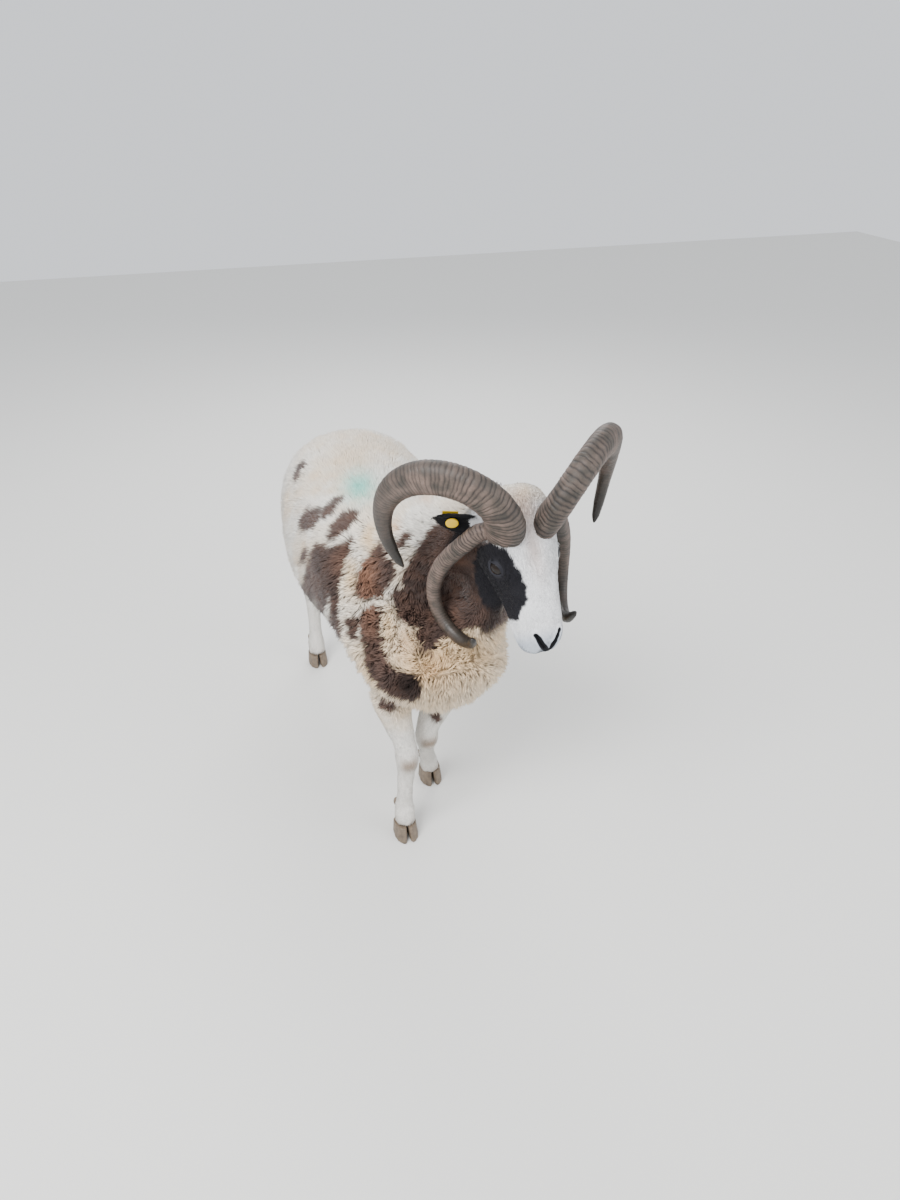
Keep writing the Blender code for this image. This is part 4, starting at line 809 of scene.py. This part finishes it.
def tuftTree():
    tree = bpy.data.node_groups.new("growTufts", "GeometryNodeTree")
    for name, kind in (("Skin", "Geometry"), ("Tuft", "Object"), ("Spacing", "Float"), ("Density", "String"),
                       ("Zones", "String"), ("Zone", "Int"), ("Seed", "Int"), ("Jitter", "Float"),
                       ("Lock Size", "Float"), ("Material", "Material")):
        tree.interface.new_socket(name, in_out="INPUT", socket_type="NodeSocket" + kind)
    tree.interface.new_socket("Tufts", in_out="OUTPUT", socket_type="NodeSocketGeometry")
    given = addNode(tree, "NodeGroupInput").outputs

    def named(name, kind):
        return addNode(tree, "GeometryNodeInputNamedAttribute", {"Name": name}, data_type=kind).outputs[0]

    def vectorMath(operation, *values):
        return addNode(tree, "ShaderNodeVectorMath", dict(enumerate(values)), operation=operation).outputs[0]

    def scaled(vector, amount):
        return addNode(tree, "ShaderNodeVectorMath", {0: vector, "Scale": amount},
                       operation="SCALE").outputs[0]

    def maths(operation, *values):
        return addNode(tree, "ShaderNodeMath", dict(enumerate(values)), operation=operation).outputs[0]

    def chance(low, high, seed):
        return addNode(tree, "FunctionNodeRandomValue", {0: low, 1: high, "Seed": seed},
                       data_type="FLOAT_VECTOR").outputs[0]

    here = addNode(tree, "FunctionNodeCompare", {2: named(given["Zones"], "INT"), 3: given["Zone"]},
                   data_type="INT", operation="EQUAL").outputs[0]
    places = addNode(tree, "GeometryNodeDistributePointsOnFaces", {
        "Mesh": given["Skin"], "Selection": here, "Distance Min": maths("MULTIPLY", given["Spacing"], 0.72),
        "Density Max": maths("DIVIDE", 1.15, maths("POWER", given["Spacing"], 2.0)),
        "Density Factor": named(given["Density"], "FLOAT"), "Seed": given["Seed"]},
        distribute_method="POISSON")
    # Locks: each tuft leans to the middle of its lock, and is short where two locks part, with painted shade
    # darkening it there.
    spot = addNode(tree, "GeometryNodeInputPosition").outputs[0]
    wander = addNode(tree, "ShaderNodeTexNoise", {"Vector": spot, "Scale": 45.0, "Detail": 1.0}).outputs[1]
    bent = vectorMath("ADD", spot, scaled(vectorMath("SUBTRACT", wander, (0.5, 0.5, 0.5)),
                                          locks["wander"]))
    pressed = vectorMath("MULTIPLY", bent, (1.0, 1.0, 0.62))
    fine = maths("DIVIDE", 1.0, given["Lock Size"])
    cell = addNode(tree, "ShaderNodeTexVoronoi", {"Vector": pressed, "Scale": fine})
    gap = addNode(tree, "ShaderNodeTexVoronoi", {"Vector": pressed, "Scale": fine},
                  feature="DISTANCE_TO_EDGE")
    cracks = named("cracks", "FLOAT")
    lean = scaled(vectorMath("MULTIPLY", vectorMath("SUBTRACT", cell.outputs["Position"], pressed),
                             (1.0, 1.0, 1.6)),
                  maths("MULTIPLY", fine, maths("MULTIPLY", cracks, locks["lean"])))
    parting = addNode(tree, "ShaderNodeMapRange", {
        0: gap.outputs["Distance"], 1: 0.0, 2: locks["crack"], 3: 1.0, 4: 0.0}).outputs[0]
    parted = maths("MULTIPLY", parting, cracks)
    shade = addNode(tree, "ShaderNodeSeparateXYZ", {0: chance((0, 0.72, 0.78), (1, 1.25, 1.20), 5)})
    # Painted shade: the tuft's random tone is lowered where two locks part.
    tone = maths("SUBTRACT", shade.outputs[0], maths("MULTIPLY", parted, locks["dark"]))
    points = addNode(tree, "GeometryNodeStoreNamedAttribute", {
        "Geometry": places.outputs["Points"], "Name": "tuftShade", "Value": tone}, data_type="FLOAT",
        domain="POINT").outputs[0]
    points = addNode(tree, "GeometryNodeStoreNamedAttribute", {
        "Geometry": points, "Name": "rootNormal", "Value": places.outputs["Normal"]},
        data_type="FLOAT_VECTOR", domain="POINT").outputs[0]
    jolt = scaled(chance((-1, -1, -1), (1, 1, 1), 9), given["Jitter"])
    axis = vectorMath("ADD", vectorMath("ADD", named("tuftAxis", "FLOAT_VECTOR"), lean), jolt)
    side = vectorMath("ADD", named("tuftLie", "FLOAT_VECTOR"), scaled(jolt, 1.6))
    turn = addNode(tree, "FunctionNodeAxesToRotation", {0: axis, 1: side}, primary_axis="Z",
                   secondary_axis="X")
    wide = maths("MULTIPLY", named("tuftWidth", "FLOAT"), shade.outputs[1])
    long = maths("MULTIPLY", maths("MULTIPLY", named("tuftLength", "FLOAT"), shade.outputs[2]),
                 maths("SUBTRACT", 1.0, maths("MULTIPLY", parted, locks["short"])))
    size = addNode(tree, "ShaderNodeCombineXYZ", {0: wide, 1: wide, 2: long}).outputs[0]
    shape = addNode(tree, "GeometryNodeObjectInfo", {"Object": given["Tuft"]})
    grown = addNode(tree, "GeometryNodeInstanceOnPoints", {
        "Points": points, "Instance": shape.outputs["Geometry"], "Rotation": turn.outputs[0], "Scale": size})
    real = addNode(tree, "GeometryNodeRealizeInstances", {"Geometry": grown.outputs[0]})
    spread = vectorMath("ADD", named("OFBake", "FLOAT_VECTOR"), scaled(named("patch", "FLOAT_VECTOR"), 0.003))
    bake = addNode(tree, "GeometryNodeStoreNamedAttribute", {
        "Geometry": real.outputs[0], "Name": "OFBake", "Value": spread}, data_type="FLOAT2", domain="CORNER")
    done = addNode(tree, "GeometryNodeSetMaterial", {
        "Geometry": bake.outputs[0], "Material": given["Material"]})
    addNode(tree, "NodeGroupOutput", {0: done.outputs[0]})
    return tree


def growCoat(skin, tree, name, tuft, values):
    thing = bpy.data.objects.new(name, skin.data)
    bpy.context.scene.collection.objects.link(thing)
    grow = thing.modifiers.new("grow", "NODES")
    grow.node_group = tree
    sockets = {item.name: item.identifier for item in tree.interface.items_tree if item.in_out == "INPUT"}
    for key, value in dict(values, Tuft=tuft).items():
        grow[sockets[key]] = value
    settled(thing)
    keep = {"OFBake", "coatColour", "along", "tuftShade", "rootNormal", "position"}
    for item in [a.name for a in thing.data.attributes]:
        if item not in keep and not item.startswith(".") and item not in ("sharp_face", "material_index"):
            thing.data.attributes.remove(thing.data.attributes[item])
    return thing


# Materials

def newMaterial(name):
    made = bpy.data.materials.new(name)
    made.use_nodes = True
    return made, made.node_tree, made.node_tree.nodes["Principled BSDF"]


# Wool and hair: matt protein fibres, bright at the tips and darker towards the roots by painted shade deep in
# the coat, with a faint sheen.
# Part of the light falls as on the coat's smooth outside, which is how light spreads in real fibres.
def coatMaterial(name, roughness, sheen, paintedRootShade, softness):
    made, tree, shader = newMaterial(name)
    colour = addNode(tree, "ShaderNodeAttribute", attribute_name="coatColour").outputs["Color"]
    along = addNode(tree, "ShaderNodeAttribute", attribute_name="along").outputs["Fac"]
    chance = addNode(tree, "ShaderNodeAttribute", attribute_name="tuftShade").outputs["Fac"]
    rootNormal = addNode(tree, "ShaderNodeAttribute", attribute_name="rootNormal").outputs["Vector"]
    own = addNode(tree, "ShaderNodeNewGeometry").outputs["Normal"]
    # Painted shade: each tuft is darker towards its root.
    low = addNode(tree, "ShaderNodeMapRange", {0: along, 1: 0.0, 2: 0.75, 3: paintedRootShade, 4: 1.0}).outputs[0]
    # tuftShade holds a random tone per tuft, lowered by painted shade in the cracks between locks.
    vary = addNode(tree, "ShaderNodeMapRange", {0: chance, 1: -1.6, 2: 1.0, 3: 0.50, 4: 1.06}).outputs[0]
    both = addNode(tree, "ShaderNodeMath", {0: low, 1: vary}, operation="MULTIPLY").outputs[0]
    shaded = addNode(tree, "ShaderNodeVectorMath", {0: colour, "Scale": both}, operation="SCALE").outputs[0]
    soft = addNode(tree, "ShaderNodeMix", {0: softness, 4: own, 5: rootNormal}, data_type="VECTOR").outputs[1]
    even = addNode(tree, "ShaderNodeVectorMath", {0: soft}, operation="NORMALIZE").outputs[0]
    tree.links.new(shaded, shader.inputs["Base Color"])
    tree.links.new(even, shader.inputs["Normal"])
    shader.inputs["Roughness"].default_value = roughness
    shader.inputs["Specular IOR Level"].default_value = 0.2
    shader.inputs["Sheen Weight"].default_value = sheen
    shader.inputs["Sheen Roughness"].default_value = 0.5
    return made


# Skin under short hair: the coat's own colours, with fine hair drawn down the body as bump.
def skinMaterial():
    made, tree, shader = newMaterial("shortHairSkin")
    colour = addNode(tree, "ShaderNodeAttribute", attribute_name="coatColour").outputs["Color"]
    place = addNode(tree, "ShaderNodeTexCoord").outputs["Object"]
    drawn = addNode(tree, "ShaderNodeMapping", {"Vector": place, "Scale": (1.0, 1.0, 0.22)}).outputs[0]
    hair = addNode(tree, "ShaderNodeTexNoise", {"Vector": drawn, "Scale": 900.0, "Detail": 3.0}).outputs[0]
    tone = addNode(tree, "ShaderNodeMapRange", {0: hair, 1: 0.3, 2: 0.7, 3: 0.72, 4: 1.02}).outputs[0]
    shaded = addNode(tree, "ShaderNodeVectorMath", {0: colour, "Scale": tone}, operation="SCALE").outputs[0]
    bump = addNode(tree, "ShaderNodeBump", {"Height": hair, "Strength": 0.35, "Distance": 0.0012}).outputs[0]
    tree.links.new(shaded, shader.inputs["Base Color"])
    tree.links.new(bump, shader.inputs["Normal"])
    shader.inputs["Roughness"].default_value = 0.75
    shader.inputs["Specular IOR Level"].default_value = 0.25
    return made


# Horn: keratin, grey-brown and matt on its ridges, smoother and darker towards the tip, with painted shade in
# the creases between the ridges and on its under side.
def hornMaterial():
    made, tree, shader = newMaterial("weatheredHorn")
    place = addNode(tree, "ShaderNodeTexCoord").outputs["Object"]
    along = addNode(tree, "ShaderNodeAttribute", attribute_name="hornAlong").outputs["Fac"]
    ridge = addNode(tree, "ShaderNodeAttribute", attribute_name="hornRidge").outputs["Fac"]
    under = addNode(tree, "ShaderNodeAttribute", attribute_name="hornUnder").outputs["Fac"]
    cloud = addNode(tree, "ShaderNodeTexNoise", {"Vector": place, "Scale": 48.0, "Detail": 5.0}).outputs[0]
    patchy = addNode(tree, "ShaderNodeMapRange", {0: cloud, 1: 0.35, 2: 0.68, 3: 0.0, 4: 1.0}).outputs[0]
    grain = addNode(tree, "ShaderNodeTexNoise", {"Vector": place, "Scale": 600.0, "Detail": 3.0}).outputs[0]
    body = addNode(tree, "ShaderNodeMix", {
        0: patchy, 6: (*toLinear("#433B34"), 1), 7: (*toLinear("#78645A"), 1)},
                   data_type="RGBA").outputs[2]
    dark = addNode(tree, "ShaderNodeMapRange", {0: along, 1: 0.42, 2: 0.92, 3: 0.0, 4: 0.95}).outputs[0]
    aged = addNode(tree, "ShaderNodeMix", {0: dark, 6: body, 7: (*toLinear("#171511"), 1)},
                   data_type="RGBA").outputs[2]
    shadow = addNode(tree, "ShaderNodeMix", {0: under, 6: aged, 7: (*toLinear("#35302A"), 1)},
                     data_type="RGBA").outputs[2]
    # Painted shade: the creases between the growth ridges are darkened.
    paintedCreaseShade = addNode(tree, "ShaderNodeMapRange", {0: ridge, 1: 0.30, 2: 0.80, 3: 0.20, 4: 1.05}).outputs[0]
    fine = addNode(tree, "ShaderNodeMapRange", {0: grain, 1: 0.3, 2: 0.7, 3: 0.86, 4: 1.10}).outputs[0]
    both = addNode(tree, "ShaderNodeMath", {0: paintedCreaseShade, 1: fine}, operation="MULTIPLY").outputs[0]
    shaded = addNode(tree, "ShaderNodeVectorMath", {0: shadow, "Scale": both}, operation="SCALE").outputs[0]
    rough = addNode(tree, "ShaderNodeMapRange", {0: along, 1: 0.3, 2: 1.0, 3: 0.62, 4: 0.34}).outputs[0]
    bump = addNode(tree, "ShaderNodeBump", {"Height": grain, "Strength": 0.5, "Distance": 0.0008}).outputs[0]
    tree.links.new(shaded, shader.inputs["Base Color"])
    tree.links.new(rough, shader.inputs["Roughness"])
    tree.links.new(bump, shader.inputs["Normal"])
    return made


# Hoof horn: dark grey keratin with growth lines round it and dry soil.
def hoofMaterial():
    made, tree, shader = newMaterial("hoofHorn")
    place = addNode(tree, "ShaderNodeTexCoord").outputs["Object"]
    lines = addNode(tree, "ShaderNodeTexWave", {
        "Vector": place, "Scale": 95.0, "Distortion": 2.5, "Detail": 2.0}, bands_direction="Z").outputs[1]
    cloud = addNode(tree, "ShaderNodeTexNoise", {"Vector": place, "Scale": 120.0, "Detail": 4.0}).outputs[0]
    colour = addNode(tree, "ShaderNodeMix", {
        0: cloud, 6: (*toLinear("#3A332D"), 1), 7: (*toLinear("#8A7864"), 1)},
                     data_type="RGBA").outputs[2]
    bump = addNode(tree, "ShaderNodeBump", {"Height": lines, "Strength": 0.35, "Distance": 0.0008}).outputs[0]
    tree.links.new(colour, shader.inputs["Base Color"])
    tree.links.new(bump, shader.inputs["Normal"])
    shader.inputs["Roughness"].default_value = 0.55
    return made


# Eye: a dark hazel iris with a level slot of a pupil, under a clear wet surface.
def eyeMaterial():
    made, tree, shader = newMaterial("wetEye")
    iris = addNode(tree, "ShaderNodeAttribute", attribute_name="irisReach").outputs["Fac"]
    slot = addNode(tree, "ShaderNodeAttribute", attribute_name="pupilReach").outputs["Fac"]
    ramp = addNode(tree, "ShaderNodeValToRGB", {0: iris})
    stops = ramp.color_ramp.elements
    stops[0].position, stops[0].color = 0.0, (*toLinear("#20150D"), 1)
    stops[1].position, stops[1].color = 1.0, (*toLinear("#15100D"), 1)
    stops.new(0.78).color = (*toLinear("#150E09"), 1)
    stops.new(0.90).color = (*toLinear("#120D0B"), 1)
    pupil = addNode(tree, "ShaderNodeMapRange", {0: slot, 1: 0.85, 2: 1.05, 3: 1.0, 4: 0.0}).outputs[0]
    colour = addNode(tree, "ShaderNodeMix", {0: pupil, 6: ramp.outputs[0], 7: (*toLinear("#050507"), 1)},
                     data_type="RGBA").outputs[2]
    tree.links.new(colour, shader.inputs["Base Color"])
    shader.inputs["Roughness"].default_value = 0.06
    shader.inputs["Specular IOR Level"].default_value = 0.0
    shader.inputs["Coat Weight"].default_value = 1.0
    shader.inputs["Coat IOR"].default_value = 1.36
    shader.inputs["Coat Roughness"].default_value = 0.03
    return made


# Tag: moulded yellow polyurethane, slightly scuffed.
def tagMaterial():
    made, tree, shader = newMaterial("yellowPolyurethane")
    place = addNode(tree, "ShaderNodeTexCoord").outputs["Object"]
    scuff = addNode(tree, "ShaderNodeTexNoise", {"Vector": place, "Scale": 260.0, "Detail": 4.0}).outputs[0]
    colour = addNode(tree, "ShaderNodeMix", {
        0: scuff, 6: (*toLinear("#E8B416"), 1), 7: (*toLinear("#F7D53A"), 1)},
                     data_type="RGBA").outputs[2]
    rough = addNode(tree, "ShaderNodeMapRange", {0: scuff, 3: 0.32, 4: 0.55}).outputs[0]
    tree.links.new(colour, shader.inputs["Base Color"])
    tree.links.new(rough, shader.inputs["Roughness"])
    return made


# Horns

upperHorn = dict(
    base=(-0.0417, -0.0441, -0.0119), azimuth=-2.463, elevation=0.3234, start=0.266, slope=0.1852,
    rootEnd=(-0.026, -0.050, -0.050), rootLength=0.045, length=0.4895, turn=10.72, turnChange=-7.776,
    squareness=2.25, ridgeSpacing=0.0072, ridgeHeight=0.0021,
    widths=((-0.06, 0.0385, 0.0262), (0.00, 0.0385, 0.0262), (0.40, 0.0350, 0.0242), (0.50, 0.0312, 0.0228),
            (0.60, 0.0263, 0.0198), (0.71, 0.0203, 0.0163), (0.81, 0.0158, 0.0128), (0.91, 0.0118, 0.0106),
            (0.97, 0.0074, 0.0074), (0.995, 0.0030, 0.0030), (1.0, 0.0008, 0.0008)),
)
lowerHorn = dict(
    base=(-0.0856, -0.0389, -0.0462), azimuth=0.5729, elevation=-0.2977, start=-3.1912, slope=-0.2647,
    rootEnd=(-0.046, -0.040, -0.030), rootLength=0.045, length=0.3682, turn=1.805, turnChange=-65.83,
    squareness=2.2, ridgeSpacing=0.0066, ridgeHeight=0.0011,
    widths=((-0.06, 0.0172, 0.0148), (0.00, 0.0172, 0.0148), (0.30, 0.0163, 0.0139), (0.55, 0.0139, 0.0124),
            (0.80, 0.0139, 0.0124), (0.92, 0.0109, 0.0099), (0.98, 0.0064, 0.0059), (0.997, 0.0028, 0.0028),
            (1.0, 0.0010, 0.0010)),
)


def makeHorn(name, form, side, material, seed):
    random = np.random.default_rng(seed)
    tilt = (math.cos(form["elevation"]), math.sin(form["elevation"]))
    axis = np.array((tilt[0] * math.cos(form["azimuth"]), tilt[0] * math.sin(form["azimuth"]), tilt[1]))
    level = unit(np.array((0.0, 0.0, 1.0)) - axis[2] * axis)
    cross = np.cross(axis, level)
    s = np.linspace(0.0, form["length"], 400)
    turn = form["start"] + form["turn"] * s + 0.5 * form["turnChange"] * s * s
    tangent = (math.cos(form["slope"]) * (np.outer(np.cos(turn), level) + np.outer(np.sin(turn), cross))
               + math.sin(form["slope"]) * axis)
    middle = (tangent[1:] + tangent[:-1]) / 2 * (s[1] - s[0])
    place = np.array(form["base"]) + np.vstack([np.zeros(3), np.cumsum(middle, axis=0)])
    # Ridges: uneven steps of growth, high near the root and gone near the tip.
    steps = np.cumsum(form["ridgeSpacing"] * random.uniform(0.65, 1.45, 160)) - form["rootLength"]
    steps = steps[steps < form["length"]]
    heights = random.uniform(0.55, 1.25, len(steps) + 1)
    rootShares = np.linspace(form["widths"][0][0], 0.0, 30, endpoint=False)
    shares = np.concatenate([rootShares, np.linspace(0.0, 0.985, 420), np.linspace(0.988, 1.0, 8)])
    table = np.array(form["widths"])
    sides = 44
    angles = np.arange(sides) * 2 * math.pi / sides
    rings, ridges = [], []
    for share in shares:
        inside = max(share, 0.0)
        at = np.array([np.interp(inside, s / form["length"], place[:, i]) for i in range(3)])
        way = unit([np.interp(inside, s / form["length"], tangent[:, i]) for i in range(3)])
        if share < 0:
            t, bend = share / rootShares[0], at - way * 0.022
            end = np.array(form["rootEnd"])
            at, way = ((1 - t) ** 2 * at + 2 * t * (1 - t) * bend + t * t * end,
                       unit((1 - t) * (at - bend) + t * (bend - end)))
        flat = unit(np.cross(axis, way))
        over = np.cross(way, flat)
        wave = (share * (form["length"] if share > 0 else form["rootLength"] / -rootShares[0])
                + 0.0011 * np.sin(2 * angles + 9 * inside) + 0.0007 * np.sin(5 * angles - 23 * inside)
                + 0.0004 * np.sin(11 * angles + 40 * inside))
        number = np.clip(np.searchsorted(steps, wave), 0, len(steps))
        low = np.where(number > 0, steps[np.clip(number - 1, 0, None)], -1.1 * form["rootLength"])
        high = np.where(number < len(steps), steps[np.clip(number, None, len(steps) - 1)], form["length"])
        phase = (wave - low) / np.maximum(high - low, 1e-5)
        fadeOut = max(0.10, 1.0 - (inside / 0.86)) ** 0.8
        bump = np.sin(math.pi * np.clip(phase, 0, 1)) ** 0.6 * heights[number]
        lift = form["ridgeHeight"] * fadeOut * (bump - 0.75)
        a, b = (np.interp(share, table[:, 0], table[:, i]) for i in (1, 2))
        section = ring(np.zeros(3), flat, over, a, b, form["squareness"], sides)
        section = section * (1.0 + np.minimum(lift, 0.3 * a) / a)[:, None] + at
        section[:, 0] *= -side
        rings.append(section)
        # hornRidge is low in the creases between ridges, where the horn's material paints shade.
        ridges.append(np.clip(bump * (0.4 + 0.6 * fadeOut) + (1 - fadeOut) * 0.6, 0, 1.2))
    points, faces = shell(rings)
    thing = meshObject(name, fromHead(points) + shift, faces)
    # Painted shade: the under side of each ring is darkened in the horn's material.
    under = np.tile(np.clip(-np.cos(angles), 0, 1) ** 1.5, len(shares))
    writeAttribute(thing.data, "hornAlong", "FLOAT", np.repeat(np.clip(shares, 0, 1), sides))
    writeAttribute(thing.data, "hornRidge", "FLOAT", np.concatenate(ridges))
    writeAttribute(thing.data, "hornUnder", "FLOAT", under * 0.62)
    return finished(thing, material)


# Closes up a new piece: one material, faces outwards, smooth.
def finished(thing, material):
    shape = bmesh.new()
    shape.from_mesh(thing.data)
    bmesh.ops.recalc_face_normals(shape, faces=shape.faces)
    shape.to_mesh(thing.data)
    shape.free()
    thing.data.materials.clear()
    thing.data.materials.append(material)
    thing.data.shade_smooth()
    return thing


def makeEye(name, side, material):
    centre, outward, along, up = eyeFrame(side)
    places, faces = ballShell((0, 0, 0), (1, 1, 1), 48, 32)
    turned = places[:, 2:3] * outward + places[:, 0:1] * along + places[:, 1:2] * up
    bulge = 1.0 + eyes["bulge"] * np.exp(-((1 - places[:, 2]) / 0.16))
    surface = centre + turned * (eyes["radius"] * eyes["ball"] * bulge)[:, None]
    thing = meshObject(name, fromHead(surface) + shift, faces)
    reach = np.arccos(np.clip(places[:, 2], -1, 1)) / eyes["iris"]
    writeAttribute(thing.data, "irisReach", "FLOAT", np.clip(reach, 0, 1))
    wide, high = eyes["pupil"]
    slot = np.sqrt((places[:, 0] / wide) ** 2 + (places[:, 1] / high) ** 2)
    writeAttribute(thing.data, "pupilReach", "FLOAT", slot + 3.0 * (places[:, 2] < 0))
    return finished(thing, material)


# The two small claws behind each pastern, in one piece.
dewClaw = dict(height=0.066, aside=0.0135, behind=0.0200, size=(0.0065, 0.0075, 0.0110))


def makeDewClaws(material):
    points, faces = [], []
    for rows in (frontRight, frontLeft, hindRight, hindLeft()):
        table = np.array(sorted(rows, key=lambda row: row[2]))
        x, y = (np.interp(dewClaw["height"], table[:, 2], table[:, i]) for i in (0, 1))
        for side in (1, -1):
            centre = (x + side * dewClaw["aside"], y + dewClaw["behind"], dewClaw["height"])
            places, sides = ballShell(centre, dewClaw["size"])
            start = sum(len(p) for p in points)
            points.append(places + shift)
            faces += [[start + i for i in face] for face in sides]
    return finished(meshObject("dewClaws", np.vstack(points), faces), material)


rounding = dict(tag=dict(voxel=0.00045, rounds=2), hoof=dict(voxel=0.0012, rounds=5))


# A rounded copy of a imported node, for hooves and tags.
def rounded(name, node, material, voxel, rounds):
    thing = bpy.data.objects.new(name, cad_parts[node].data.copy())
    bpy.context.scene.collection.objects.link(thing)
    weld = thing.modifiers.new("weld", "WELD")
    weld.merge_threshold = 0.00005
    cells = thing.modifiers.new("cells", "REMESH")
    cells.mode = "VOXEL"
    cells.voxel_size = voxel
    even = thing.modifiers.new("even", "SMOOTH")
    even.factor = 0.5
    even.iterations = rounds
    settled(thing)
    return finished(thing, material)


# Making

def main():
    print("skin")
    skin, head = makeBody(), makeHead()
    join = skin.modifiers.new("join", "BOOLEAN")
    join.object = head
    join.operation = "UNION"
    join.solver = "MANIFOLD"
    shells = [BVHTree.FromPolygons([v.co[:] for v in thing.data.vertices],
                                   [p.vertices[:] for p in thing.data.polygons]) for thing in (skin, head)]
    settled(skin)
    smoothSeam(skin, shells)
    bpy.data.objects.remove(head)
    dressSkin(skin)
    moved(skin, coordinates(skin.data) + shift)
    print("skin faces", len(skin.data.polygons))
    bpy.ops.object.select_all(action="DESELECT")
    skin.select_set(True)
    bpy.context.view_layer.objects.active = skin
    bpy.ops.object.mode_set(mode="EDIT")
    bpy.ops.mesh.select_all(action="SELECT")
    bpy.ops.uv.smart_project(angle_limit=math.radians(72), island_margin=0.002)
    bpy.ops.object.mode_set(mode="OBJECT")
    skin.data.uv_layers.active.name = "OFBake"
    for kind, sizes in coatPieces.items():
        zoneFaces(skin.data, kind + "Zone", kind + "Density", sizes["zones"])
    skin.data.materials.clear()
    skin.data.materials.append(skinMaterial())
    skin.data.shade_smooth()

    print("coat")
    tree = tuftTree()
    looks = dict(wool=coatMaterial("jacobWool", 0.95, 0.30, 0.80, 0.55),
                 hair=coatMaterial("shortWhiteHair", 0.75, 0.12, 0.85, 0.45))
    coat = []
    for kind, sizes in coatPieces.items():
        tuft = tuftShape(kind + "Shape", sizes["waist"], sizes["bend"])
        for zone in range(sizes["zones"]):
            piece = growCoat(skin, tree, kind + "Coat" + str(zone + 1), tuft, {
                "Spacing": sizes["spacing"], "Density": kind + "Density", "Zones": kind + "Zone",
                "Zone": zone,
                "Seed": sizes["seed"] + zone, "Jitter": sizes["jitter"], "Lock Size": sizes["lockSize"],
                "Material": looks[kind]})
            coat.append((piece, "white_" + kind))
        bpy.data.objects.remove(tuft)
    for piece, slot in coat:
        print(piece.name, len(piece.data.polygons))
        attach(piece, "root")
    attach(skin, "root")
    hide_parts("torso", "neck", "head", "tail", "ear_left", "ear_right", "front_right_leg",
                "front_left_leg", "hind_right_leg", "hind_left_leg")

    print("horns, eyes, hooves and tags")
    hornLook, eyeLook, hoofLook, tagLook = hornMaterial(), eyeMaterial(), hoofMaterial(), tagMaterial()
    for side, hand in ((1, "left"), (-1, "right")):
        made = (
            (makeHorn("upperHorn_" + hand, upperHorn, side, hornLook, 11 + side), "horn", "upper_horn_"),
            (makeHorn("lowerHorn_" + hand, lowerHorn, side, hornLook, 21 + side), "horn", "lower_horn_"),
            (makeEye("eyeball_" + hand, side, eyeLook), "eye", "eye_"),
            (rounded("tag_" + hand, "ear_tag_" + hand, tagLook, **rounding["tag"]), "tag_plastic",
             "ear_tag_"),
        )
        for piece, slot, node in made:
            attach(piece, "root")
            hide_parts(node + hand)
    for node in [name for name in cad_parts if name.endswith("_claw")]:
        piece = rounded("hoof_" + node, node, hoofLook, **rounding["hoof"])
        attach(piece, "root")
        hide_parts(node)

    dewClaws = makeDewClaws(hoofLook)
    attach(dewClaws, "root")

    print("floor, lights and camera")
    stageAndLights()


studio = dict(floor="#E2E1DD", floorReach=6.0, floorLevel=-0.0008, world=1.12, sky=(0.92, 0.95, 1.0, 1),
              aim=(0, 0, 0.45))
# Each lamp's place, size and power.
lamps = dict(key=((-1.8, -1.6, 2.9), 1.8, 150.0), fill=((2.2, -2.0, 1.6), 2.2, 42.0),
             rim=((0.6, 2.2, 2.4), 1.6, 52.0))


def stageAndLights():
    reach, level = studio["floorReach"], studio["floorLevel"]
    corners = [(x * reach, y * reach, level) for x, y in ((-1, -1), (1, -1), (1, 1), (-1, 1))]
    floor = meshObject("floor", corners, [(0, 1, 2, 3)])
    made, tree, shader = newMaterial("paleFloor")
    shader.inputs["Base Color"].default_value = (*toLinear(studio["floor"]), 1)
    shader.inputs["Roughness"].default_value = 0.9
    floor.data.materials.append(made)
    for name, (place, size, power) in lamps.items():
        light = bpy.data.lights.new(name, "AREA")
        light.energy = power
        light.size = size
        lamp = bpy.data.objects.new(name, light)
        lamp.location = place
        lamp.rotation_euler = (Vector(studio["aim"]) - Vector(place)).to_track_quat("-Z", "Y").to_euler()
        bpy.context.scene.collection.objects.link(lamp)
    world = bpy.data.worlds.new("studio")
    bpy.context.scene.world = world
    world.use_nodes = True
    world.node_tree.nodes["Background"].inputs[0].default_value = studio["sky"]
    world.node_tree.nodes["Background"].inputs[1].default_value = studio["world"]
    view = bpy.data.cameras.new("view")
    view.lens = camera["lens"]
    view.sensor_width = camera["sensor"]
    eye = bpy.data.objects.new("view", view)
    turn, down = math.radians(camera["turn"]), math.radians(camera["down"])
    eye.location = Vector(camera["place"]) + Vector(shift)
    eye.rotation_euler = (math.pi / 2 - down, 0.0, -turn)
    bpy.context.scene.collection.objects.link(eye)
    bpy.context.scene.camera = eye


main()
